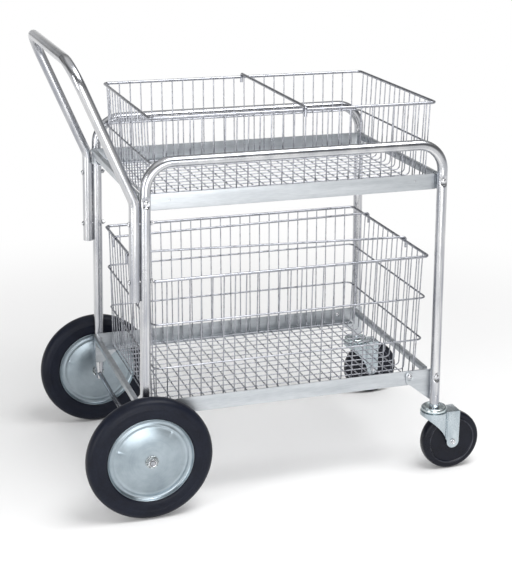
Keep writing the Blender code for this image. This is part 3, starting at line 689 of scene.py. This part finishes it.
def makeDeck(level):
    s = deckShape
    top, half = s["tops"][level], s["halves"][level]
    bottom, wall = top - s["depth"], s["sheet"]
    rear, front = rearLegX(top) - s["rearOverhang"], cart["rearX"] + cart["legSpacing"] - s["frontSetback"]
    outer = roundedRectangle((rear, -half), (front, half), s["rearRadius"], s["frontRadius"])
    inner = roundedRectangle((rear + wall, -half + wall), (front - wall, half - wall), s["rearRadius"] - wall, s["frontRadius"] - wall)
    deck = put(sheet(level + "DeckTray", outer, s["depth"]), Matrix.Translation((0, 0, (top + bottom) / 2)))
    pickFaces(deck, lambda face: face.normal.z < -0.9)
    bpy.ops.mesh.bevel(offset=s["fold"], segments=4, affect="EDGES")
    bpy.ops.object.mode_set(mode="OBJECT")
    combined(deck, put(sheet("inside", inner, s["depth"] + 0.01), Matrix.Translation((0, 0, (top + bottom) / 2))), "DIFFERENCE")
    notchHalf = half - s["frontRadius"]
    reach, roll, tilt = s["lip"], s["lipRound"], Matrix.Rotation(math.pi / 2, 4, "X")
    for x, inward in ((rear, 1), (front, -1)):
        low, high = (x - 0.004, -notchHalf, bottom - 0.004), (x + 0.004, notchHalf, top - s["endDepth"])
        combined(deck, block(low, high), "DIFFERENCE")
        lip = [
            (wall / 4, top - s["endDepth"] / 2), (-roll, top - roll), *arc((0, top), roll, 180, 90, 8),
            (reach - wall, top + roll), (reach, top + roll - wall), (reach, top - roll), (reach - wall, top - roll),
            (reach - wall, top + 0.0003), (wall * 0.8, top + 0.0003), (wall * 0.8, top - s["endDepth"] / 2),
        ]
        rolled = put(sheet("lip", [(x + inward * across, z) for across, z in lip], 2 * notchHalf - 0.0006), tilt)
        combined(deck, rolled, "UNION")
    for side in sides.values():
        near, far = sorted((side * (half - wall * 0.9), side * (half - s["flange"])))
        low, high = (rear + 0.012, near, bottom + 0.0003), (front - 0.012, far, bottom + wall)
        combined(deck, block(low, high), "UNION")
        if level == "upper":
            near, far = sorted((side * (half - 0.0003), side * (half - wall + 0.0003)))
            low = (front - s["frontRadius"] * 1.5, near, bottom + s["earInset"])
            high = (frontLegX(cart["upperRivetZ"]) + s["earReach"], far, top - s["earInset"])
            combined(deck, block(low, high), "UNION")
            for x, z in s["dots"]:
                combined(deck, pin((x, side * half, z), (math.pi / 2, 0, 0), s["dotRadius"], 0.01, 16), "DIFFERENCE")
    eased(cleaned(deck), s["ease"])
    finishPiece(deck, sheetFinish, "chassis", "zinc_sheet", level + "_deck_frame", degrees=20)


def makeGussets():
    s = deckShape
    low, high = s["ringRadius"] - s["ringWidth"], s["ringRadius"] + s["ringWidth"]
    profile = [(low, -0.0004), (low, 0), (s["ringRadius"], s["ringRise"]), (high, 0), (high, -0.0004)]
    ring = spun("pressedRing", profile, 40)
    for end, leg, way in (("rear", rearLegX, 1), ("front", frontLegX, -1)):
        for word, side in sides.items():
            plate = eased(taken(f"gusset_{end}_{word}", f"cornerGusset_{end}_{word}"), s["ease"])
            x = leg(cart["lowerRivetZ"]) + way * s["gussetReach"]
            made = put(copied(ring, "ring"), facing((x, side * s["gussetFace"], cart["lowerRivetZ"]), (0, side, 0)))
            plate = joined(f"cornerGusset_{end}_{word}", [plate, made])
            finishPiece(plate, sheetFinish, "chassis", "zinc_sheet", f"gusset_{end}_{word}", degrees=20)
    away(ring)


rivetShape = {
    "head": [(0, 0.0035), (0.0016, 0.0034), (0.0031, 0.003), (0.0044, 0.0024), (0.0054, 0.0015), (0.0062, 0.0003), (0.0062, 0)],
    "shank": 0.003,
    "tail": (0.005, 0.0025),
    "faces": {  # outer and inner face that each kind holds together, from the cart's middle
        "upper_rivet": (0.2713, 0.2479),
        "leg_rivet_rear": (0.2713, 0.2451),
        "leg_rivet_front": (0.2713, 0.2474),
        "gusset_rivet": (0.2505, 0.2451),
    },
}


def makeRivets():
    s = rivetShape
    tailRadius, tailHeight = s["tail"]
    for kind, (outer, inner) in s["faces"].items():
        grip = outer - inner
        profile = [*s["head"], (s["shank"], 0), (s["shank"], -grip), (tailRadius, -grip)]
        profile += [(tailRadius, -grip - tailHeight * 0.6), (tailRadius * 0.7, -grip - tailHeight), (0, -grip - tailHeight)]
        rivet = spun(kind, profile, 28)
        for end, leg, way in (("rear", rearLegX, 1), ("front", frontLegX, -1)):
            if kind.endswith(("_rear", "_front")) and not kind.endswith(end):
                continue
            height = cart["upperRivetZ"] if kind == "upper_rivet" else cart["lowerRivetZ"]
            x = leg(height) + (way * deckShape["gussetReach"] if kind == "gusset_rivet" else 0)
            stem = kind.replace("_rear", "").replace("_front", "")
            for word, side in sides.items():
                made = copied(rivet, f"{stem.replace('_rivet', 'Rivet')}_{end}_{word}")
                put(made, facing((x, side * outer, height), (0, side, 0)))
                finishPiece(made, boltFinish, "chassis", "zinc_fastener", f"{stem}_{end}_{word}")
        away(rivet)


makeDeck("upper")
makeDeck("lower")
makeGussets()
makeRivets()
print("decks made")

# Baskets
basketShape = {
    "pitch": 0.027765,
    "firstShare": 0.44,
    "sideWires": 25,
    "endWires": 15,
    "endInset": 0.02,
    "wire": 0.00155,
    "ring": 0.0023,
    "rim": 0.0036,
    "tuck": 0.00144,
    "flare": 0.03,
    "corner": 0.012,
    "bend": 0.01,
    "bendSteps": 4,
    "overlap": 0.0003,  # how far a welded wire sinks into the one it crosses
}
basketLevels = {
    "upper": {
        "rimHeight": 0.9475, "rimHalf": 0.2365, "drops": (0.1036,), "floor": 0.7424, "wiresFrom": -0.32945,
        "ends": (-0.3288, 0.3722),
    },
    "lower": {
        "rimHeight": 0.5685, "rimHalf": 0.2467, "drops": (0.1073, 0.2182), "floor": 0.2354, "wiresFrom": -0.33545,
        "ends": (-0.3322, 0.3680),
    },
}


def basketRing(name, ends, half, height, outset, radius, rounds):
    x0, x1 = ends[0] - outset, ends[1] + outset
    y = half + outset
    corners = [(x0, -y, height), (x1, -y, height), (x1, y, height), (x0, y, height)]
    return tubed(name, [bent(corners, [basketShape["corner"] + outset] * 4, 8)], radius, rounds, closed=True)


def makeBasket(level):
    s = basketShape
    b = basketLevels[level]
    wire, top, floor = s["wire"], b["rimHeight"], b["floor"]
    drop = top - floor
    topHalf = b["rimHalf"] - s["tuck"]
    footHalf = topHalf - drop * s["flare"]
    endFloor = floor + 2 * wire - s["overlap"]
    rear, front = b["ends"][0] + s["tuck"], b["ends"][1] - s["tuck"]
    slant = drop * s["flare"]
    paths = []
    for i in range(s["sideWires"]):
        x = b["wiresFrom"] + s["pitch"] * (i + s["firstShare"])
        corners = [(x, -topHalf, top), (x, -footHalf, floor), (x, footHalf, floor), (x, topHalf, top)]
        paths.append(bent(corners, [0, s["bend"], s["bend"], 0], s["bendSteps"]))
    width = 2 * (footHalf - s["endInset"])
    for i in range(s["endWires"]):
        y = width * (i / (s["endWires"] - 1) - 0.5)
        corners = [(rear, y, top), (rear + slant, y, endFloor), (front - slant, y, endFloor), (front, y, top)]
        paths.append(bent(corners, [0, s["bend"], s["bend"], 0], s["bendSteps"]))
    pieces = [tubed(level + "Wires", paths, wire, 2)]
    pieces.append(basketRing(level + "Rim", b["ends"], b["rimHalf"], top, 0, s["rim"], 6))
    for fall in b["drops"]:
        ends = (rear + fall * s["flare"], front - fall * s["flare"])
        outset = wire + s["ring"] - s["overlap"]
        half = topHalf - fall * s["flare"]
        pieces.append(basketRing(level + "Ring", ends, half, top - fall, outset, s["ring"], 4))
    basket = joined(level + "WireBasket", pieces)
    finishPiece(basket, wireFinish, level + "_basket_body", "bright_wire", level + "_basket", degrees=60)


for level in basketLevels:
    makeBasket(level)
print("baskets made")

# Loose bars on the rims
barShape = {
    "divider": {"x": 0.0397, "half": 0.2437, "z": 0.9547, "radius": 0.0036, "hook": 0.022},
    "rodZ": 0.5749,
    "rodRadius": 0.0028,
    "rodEnds": (-0.3390, 0.3750),
    "rodHook": 0.027,
    "rods": {"left": (0.122, 0.151), "right": (-0.023, -0.094)},
    "bend": 0.007,
}


def hookedBar(name, start, end, radius, hook):
    down = Vector((0, 0, -hook))
    start, end = Vector(start), Vector(end)
    bends = bent([start + down, start, end, end + down], [0, barShape["bend"], barShape["bend"], 0], 8)
    return tubed(name, [bends], radius, 6)


def makeBars():
    d = barShape["divider"]
    bar = hookedBar("dividerBar", (d["x"], -d["half"], d["z"]), (d["x"], d["half"], d["z"]), d["radius"], d["hook"])
    finishPiece(bar, wireFinish, "divider", "bright_wire", "basket_divider", degrees=60)
    rear, front = barShape["rodEnds"]
    for word, (rearY, frontY) in barShape["rods"].items():
        ends = ((rear, rearY, barShape["rodZ"]), (front, frontY, barShape["rodZ"]))
        bar = hookedBar("fileBar_" + word, *ends, barShape["rodRadius"], barShape["rodHook"])
        finishPiece(bar, wireFinish, "file_rod_body_" + word, "bright_wire", "file_rod_" + word, degrees=60)


makeBars()
print("bars made")

# Rear wheels
wheelShape = {
    "tyre": [
        (0.153, 0.0), (0.1528, 0.004), (0.1518, 0.009), (0.1495, 0.0137), (0.146, 0.0173), (0.1415, 0.0196),
        (0.1365, 0.0207), (0.1340, 0.0208), (0.1322, 0.0215), (0.1305, 0.0217), (0.1288, 0.0214), (0.1272, 0.0208),
        (0.124, 0.0211), (0.118, 0.0213), (0.1125, 0.0209), (0.1085, 0.0199), (0.106, 0.0182), (0.1048, 0.0155),
    ],
    "tyreBack": -0.0155,
    "discFace": [
        (0.0142, 0.0235), (0.02, 0.0234), (0.033, 0.0227), (0.047, 0.0212), (0.059, 0.0192), (0.068, 0.0171),
        (0.0745, 0.0152), (0.0785, 0.0139), (0.0815, 0.0128), (0.0835, 0.0123), (0.0852, 0.0122), (0.0868, 0.0124),
        (0.0882, 0.0126), (0.0894, 0.0124), (0.0908, 0.0117), (0.0925, 0.0109), (0.0945, 0.0104), (0.0965, 0.0104),
        (0.0984, 0.0109), (0.1000, 0.0120), (0.1012, 0.0136), (0.1020, 0.0154), (0.1026, 0.0167),
        (0.1033, 0.0177), (0.1041, 0.0175), (0.1045, 0.0166),
    ],
    "discSheet": 0.0016,
    "dimples": (159.6, 49.3, -12.8, -140.6),
    "dimpleRadius": 0.081,
    "dimpleRise": 0.0013,
    "steps": 160,
    "hub": [
        (0.016, 0.0238), (0.0162, 0.0252), (0.0156, 0.0262), (0.0146, 0.0264), (0.0132, 0.0258), (0.0118, 0.0248),
        (0.0112, 0.0242), (0.0066, 0.0242),
    ],
    "hubBody": 0.0135,
    "crimps": 10,
    "crimpDepth": 0.0016,
    "cap": [
        (0.0062, 0.0246), (0.0094, 0.0246), (0.0096, 0.0310), (0.0093, 0.0324), (0.0084, 0.0331), (0.0073, 0.0327),
        (0.0066, 0.0312), (0.0062, 0.0298),
    ],
    "capShift": 0.0018,
}


def wheelCentre(side):
    return Vector((rearLegX(cart["wheelHeight"]), side * (cart["halfWidth"] + cart["wheelOffset"]), cart["wheelHeight"]))


def makeWheels():
    s = wheelShape
    outerHalf = s["tyre"]
    tyre = spun("tyre", outerHalf + [(outerHalf[-1][0], s["tyreBack"])] + [(r, -h) for r, h in outerHalf[1:-1]][::-1], 128)
    edge = s["discFace"][-1][0]
    back = [(edge, 0.0005), (edge - s["discSheet"], 0.0005)]
    back += [(min(r, edge - s["discSheet"]), h - s["discSheet"]) for r, h in s["discFace"][::-1] if r < 0.1023]
    disc = spun("wheelDisc", s["discFace"] + back, s["steps"])
    for vertex in disc.data.vertices:
        p = vertex.co
        for angle in s["dimples"]:
            spoke = Vector((math.cos(math.radians(angle)), math.sin(math.radians(angle))))
            along = p.x * spoke.x + p.y * spoke.y - s["dimpleRadius"]
            across = p.x * spoke.y - p.y * spoke.x
            p.z += s["dimpleRise"] * math.exp(-((across / 0.0016) ** 2) - (along / 0.0072) ** 4)
    hub = spun("wheelHub", s["hub"] + [(r, -h) for r, h in s["hub"][::-1]] + [(0.016, -0.0238), (s["hubBody"], -0.0238), (s["hubBody"], 0.0238)], 96)
    for vertex in hub.data.vertices:
        p = vertex.co
        if 0.0105 < math.hypot(p.x, p.y) < 0.0158 and abs(p.z) > 0.0245:
            notch = max(0, math.cos(math.atan2(p.y, p.x) * s["crimps"])) ** 2
            p.z -= math.copysign(s["crimpDepth"] * notch, p.z)
    cap = spun("axleCap", s["cap"], 48)
    for word, side in sides.items():
        body = "rear_wheel_" + word
        centre = wheelCentre(side)
        outward = facing(centre, (0, side, 0))
        made = put(copied(tyre, "tyre_" + word), outward)
        finishPiece(made, tyreFinish, body, "tyre_rubber", "rear_tyre_" + word, degrees=50)
        finish = discPaint("pressedDisc_" + word, (0.24, 0.29, 0.325), (0.42, 0.48, 0.52), tuple(centre), 0.31)
        for where, way in (("outer", side), ("inner", -side)):
            # local x stays +X, local y points up the wheel and local z out along the axle
            turn = Matrix(((1, 0, 0), (0, 0, way), (0, 1, 0))).to_4x4()
            made = put(copied(disc, f"wheelDisc_{where}_{word}"), Matrix.Translation(centre) @ turn)
            finishPiece(made, finish, body, "zinc_disc", f"wheel_disc_{where}_{word}")
        made = put(copied(hub, "wheelHub_" + word), outward)
        finishPiece(made, hubFinish, body, "axle_steel", "wheel_hub_" + word, degrees=20)
        made = put(copied(cap, "axleCap_" + word), outward)
        finishPiece(made, boltFinish, "chassis", "zinc_fastener", "axle_cap_" + word, degrees=20)
    away(tyre, disc, hub, cap)


makeWheels()
print("rear wheels made")

# Swivel casters
casterShape = {
    "axisX": 0.395501,
    "wheelX": 0.442001,
    "radius": 0.0777,
    "crown": (0.1584, 0.1614),
    "crownRadius": 0.0345,
    "inside": 0.0185,
    "outside": 0.0215,
    "strap": 0.0229,
    "strapHalf": 0.0165,
    "sheet": 0.003,
    "webFoot": 0.004,
    "webBow": 0.0075,
    "lip": 0.004,
    "ease": 0.0009,
    "cup": [
        (0.0053, 0.1620), (0.0300, 0.1620), (0.0304, 0.1630), (0.0316, 0.1636), (0.0324, 0.1648), (0.0328, 0.1664),
        (0.0328, 0.1682), (0.0324, 0.1702), (0.0315, 0.1722), (0.0302, 0.1736), (0.0286, 0.1742), (0.0270, 0.1739),
        (0.0252, 0.1728), (0.0234, 0.1714), (0.0214, 0.1704), (0.0190, 0.1699), (0.0150, 0.1698), (0.0053, 0.1698),
    ],
    "stem": [
        (0, 0.207), (0.0068, 0.207), (0.008, 0.2055), (0.008, 0.1767), (0.0115, 0.1767), (0.0115, 0.1703),
        (0.005, 0.1703), (0.005, 0.1581), (0.0085, 0.1581), (0.0082, 0.1567), (0.007, 0.1561), (0, 0.1561),
    ],
    "wheel": [
        (0.00425, 0.016), (0.0085, 0.016), (0.0105, 0.0152), (0.0118, 0.0138), (0.0225, 0.0133), (0.0245, 0.0128),
        (0.0262, 0.0131), (0.030, 0.0133), (0.045, 0.0134), (0.0560, 0.0133), (0.0574, 0.0135), (0.0584, 0.0143),
        (0.0590, 0.0156), (0.0597, 0.0165), (0.0606, 0.0168), (0.0615, 0.0165), (0.0622, 0.0156), (0.0630, 0.0148),
        (0.0642, 0.0145), (0.068, 0.0146),
        (0.0717, 0.0144), (0.0742, 0.0134), (0.0758, 0.0117), (0.0768, 0.0092), (0.0774, 0.006), (0.0777, 0.0),
    ],
    # radius, half width and tone of the painted highlight, a pale ring on the caster wheel's ridge
    "paintedRingHighlight": (0.0604, 0.0016, (0.075, 0.08, 0.1)),
    "bolt": [
        (0, 0.0268), (0.0026, 0.0268), (0.0030, 0.0284), (0.0038, 0.0290), (0.0048, 0.0288), (0.0054, 0.0278),
        (0.0056, 0.0244), (0.0070, 0.0238), (0.0070, 0.0232), (0.004, 0.0232), (0.004, -0.0312), (0, -0.0312),
    ],
}


def crownOutline(radius, half, end):
    s = casterShape
    nose = math.degrees(math.asin(half / radius))
    return [(end, half), *arc((s["axisX"], 0), radius, nose, 360 - nose, 32), (end, -half)]


def bowed(start, end, rise, steps):
    start, end = Vector(start), Vector(end)
    across = (end - start).orthogonal().normalized() * rise
    return [tuple(start.lerp(end, i / steps) + across * 4 * i / steps * (1 - i / steps)) for i in range(steps + 1)]


def makeFork():
    s = casterShape
    low, high = s["crown"]
    end = s["wheelX"] + s["strapHalf"]
    spare = 0.004
    fork = put(sheet("fork", crownOutline(s["crownRadius"], s["outside"], end), s["sheet"]), Matrix.Translation((0, 0, (low + high) / 2)))
    outer = crownOutline(s["crownRadius"], s["outside"], end)
    inner = crownOutline(s["crownRadius"] - s["sheet"], s["inside"], end)
    depth = high - s["radius"] + s["strapHalf"] + spare
    walls = sheet("forkWalls", [*outer, *inner[::-1]], depth)
    put(walls, Matrix.Translation((0, 0, high - s["sheet"] / 2 - depth / 2)))
    foot = arc((s["wheelX"], s["radius"]), s["strapHalf"], 180, 360, 20)
    webTop = (s["axisX"] - s["crownRadius"] - spare, low - s["lip"])
    webFoot = (s["wheelX"] - s["strapHalf"], s["radius"] + s["webFoot"])
    side = [(webTop[0], high - s["sheet"] / 3), *bowed(webTop, webFoot, s["webBow"], 12), *foot]
    side += [(end + spare, s["radius"]), (end + spare, high - s["sheet"] / 3)]
    upright = Matrix.Rotation(math.pi / 2, 4, "X")
    combined(walls, put(sheet("forkSide", side, 2 * (s["crownRadius"] + spare)), upright), "INTERSECT")
    combined(fork, walls, "UNION")
    proud = [*foot, (end, high - 0.0003), (s["wheelX"] - s["strapHalf"], high - 0.0003)]
    inside = s["inside"] + s["sheet"] / 3
    for way in (-1, 1):
        strap = put(sheet("forkStrap", proud, s["strap"] - inside), Matrix.Translation((0, way * (inside + s["strap"]) / 2, 0)) @ upright)
        combined(fork, strap, "UNION")
    combined(fork, pin((s["wheelX"], 0, s["radius"]), (math.pi / 2, 0, 0), 0.0043, 0.06), "DIFFERENCE")
    combined(fork, pin((s["axisX"], 0, high), (0, 0, 0), 0.0053, 0.02), "DIFFERENCE")
    return eased(fork, s["ease"], 3, 35)


def makeCasters():
    s = casterShape
    fork = makeFork()
    cup = spun("casterCup", s["cup"], 72)
    stem = spun("casterStem", s["stem"], 36)
    face = s["wheel"]
    wheel = spun("casterWheel", face + [(r, -h) for r, h in face[-2::-1]], 128)
    bolt = spun("casterBolt", s["bolt"], 32)
    for word, side in sides.items():
        y = side * cart["halfWidth"]
        across = Matrix.Translation((0, y, 0))
        onAxis = Matrix.Translation((s["axisX"], y, 0))
        onWheel = facing((s["wheelX"], y, s["radius"]), (0, side, 0))
        swivel, roller = "caster_swivel_" + word, "caster_roller_" + word
        made = put(copied(fork, "casterFork_" + word), across)
        finishPiece(made, forkFinish, swivel, "zinc_caster", "caster_fork_" + word, degrees=20)
        made = put(copied(cup, "casterCup_" + word), onAxis)
        finishPiece(made, cupFinish, "chassis", "zinc_caster", "caster_raceway_" + word)
        made = put(copied(stem, "casterStem_" + word), onAxis)
        finishPiece(made, cupFinish, "chassis", "zinc_caster", "caster_stem_" + word)
        ring = ((s["wheelX"], y, s["radius"]), *s["paintedRingHighlight"])
        rollerFinish = rubberPaint("hardRubber_" + word, (0.002, 0.003, 0.007), (0.008, 0.0095, 0.018), 0.3, 26, 0.22, ring)
        made = put(copied(wheel, "casterWheel_" + word), onWheel)
        finishPiece(made, rollerFinish, roller, "hard_rubber", "caster_wheel_" + word)
        made = put(copied(bolt, "casterBolt_" + word), onWheel)
        finishPiece(made, boltFinish, swivel, "zinc_fastener", "caster_bolt_" + word)
    away(fork, cup, stem, wheel, bolt)


makeCasters()
print("casters made")

# CAD pieces that keep their shape get a finish
carried = {"rear_axle": axleFinish, "caster_nut": boltFinish, "handle_nut": boltFinish}
for name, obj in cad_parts.items():
    for start, finish in carried.items():
        if name.startswith(start):
            obj.data.materials.clear()
            obj.data.materials.append(finish)

# Floor, light and background
studio = {
    "floorSize": 40.0,
    "floorColour": 0.9,
    "fadeFrom": 0.75,  # the floor turns plain white between these distances from the cart
    "fadeTo": 2.2,
    "dim": 0.56,
    "room": [  # what the metal sees around it, from behind round by the left, front and right
        (0.0, 1.0), (0.02, 1.0), (0.045, 0.12), (0.125, 0.14), (0.165, 0.8), (0.43, 0.8), (0.5, 0.6),
        (0.59, 0.5), (0.85, 0.42), (0.885, 1.0), (1.0, 1.0),
    ],
    "upperRoom": [(0.0, 0.3), (0.1, 0.3), (0.2, 0.2), (0.8, 0.2), (0.9, 0.3), (1.0, 0.3)],
    "ceiling": 0.75,
    "lamps": {  # place, aim, width, height, watts
        "frontStrip": ((-0.35, -2.7, 0.8), (0, 0, 0.6), 1.5, 1.5, 25),
        "topLamp": ((0.65, -1.0, 3.1), (0, 0, 0.4), 2.2, 1.3, 68),
        "leftLamp": ((-2.6, -1.5, 0.9), (0, 0, 0.5), 0.6, 1.7, 22),
    },
}


def makeFloor():
    s = studio
    bpy.ops.object.select_all(action="DESELECT")
    bpy.ops.mesh.primitive_plane_add(size=s["floorSize"], location=(0, 0, -0.0006))
    floor = bpy.context.object
    floor.name = "floor"
    paint = Paint("paleFloor", Base_Color=(*grey(s["floorColour"]), 1), Roughness=0.9)
    paint.shader.inputs["Specular IOR Level"].default_value = 0.0
    across, along, _ = paint.split(paint.spot())
    far = paint.step((across * across + along * along) ** 0.5, s["fadeFrom"], s["fadeTo"])
    plain = paint.node("ShaderNodeEmission", None, {"Color": (1, 1, 1, 1), "Strength": 1.0})
    mix = paint.node(
        "ShaderNodeMixShader", None, {0: far * seenRays(paint), 1: Wire(paint, paint.shader.outputs[0]), 2: plain}
    )
    paint.tree.links.new(mix.socket, paint.tree.nodes["Material Output"].inputs["Surface"])
    floor.data.materials.append(paint.material)


def seenRays(board):
    rays = board.node("ShaderNodeLightPath").socket.node.outputs
    seen = board.node("ShaderNodeMath", {"operation": "MAXIMUM"}, {0: Wire(board, rays["Is Camera Ray"]), 1: Wire(board, rays["Is Glossy Ray"])})
    return board.node("ShaderNodeMath", {"operation": "MAXIMUM"}, {0: seen, 1: Wire(board, rays["Is Transmission Ray"])})


def makeWorld():
    s = studio
    world = bpy.data.worlds.new("studioWorld")
    bpy.context.scene.world = world
    world.use_nodes = True
    sky = Board(world.node_tree)
    x, y, z = sky.split(sky.node("ShaderNodeTexCoord", out="Generated"))
    turn = sky.node("ShaderNodeMath", {"operation": "ARCTAN2"}, {0: x, 1: 0 - y})
    heading = turn / math.tau + 0.5
    around, above = (sky.ramp(heading, [(p, grey(shade)) for p, shade in s[key]]) for key in ("room", "upperRoom"))
    low, high = sky.step(z, 0.1, 0.26), sky.step(z, 0.6, 0.85)
    room = around * (1 - low) + low * (above * (1 - high) + high * s["ceiling"])
    rays = sky.node("ShaderNodeLightPath").socket.node.outputs
    white = Wire(sky, rays["Is Camera Ray"])
    shade = sky.node("ShaderNodeMath", {"operation": "MAXIMUM"}, {0: room, 1: white})
    seen = seenRays(sky)
    strength = shade * seen + (1 - seen) * s["dim"]
    glow = sky.tree.nodes["Background"].inputs
    glow["Color"].default_value = (1, 1, 1, 1)
    sky.tree.links.new(strength.socket, glow["Strength"])


def makeLamps():
    for name, (place, aim, width, height, power) in studio["lamps"].items():
        bpy.ops.object.light_add(type="AREA", location=place)
        lamp = bpy.context.object
        lamp.name = name
        lamp.data.shape = "RECTANGLE"
        lamp.data.size = width
        lamp.data.size_y = height
        lamp.data.energy = power
        lamp.visible_camera = False
        lamp.rotation_euler = (Vector(aim) - Vector(place)).to_track_quat("-Z", "Y").to_euler()


makeFloor()
makeWorld()
makeLamps()
print("studio lit")
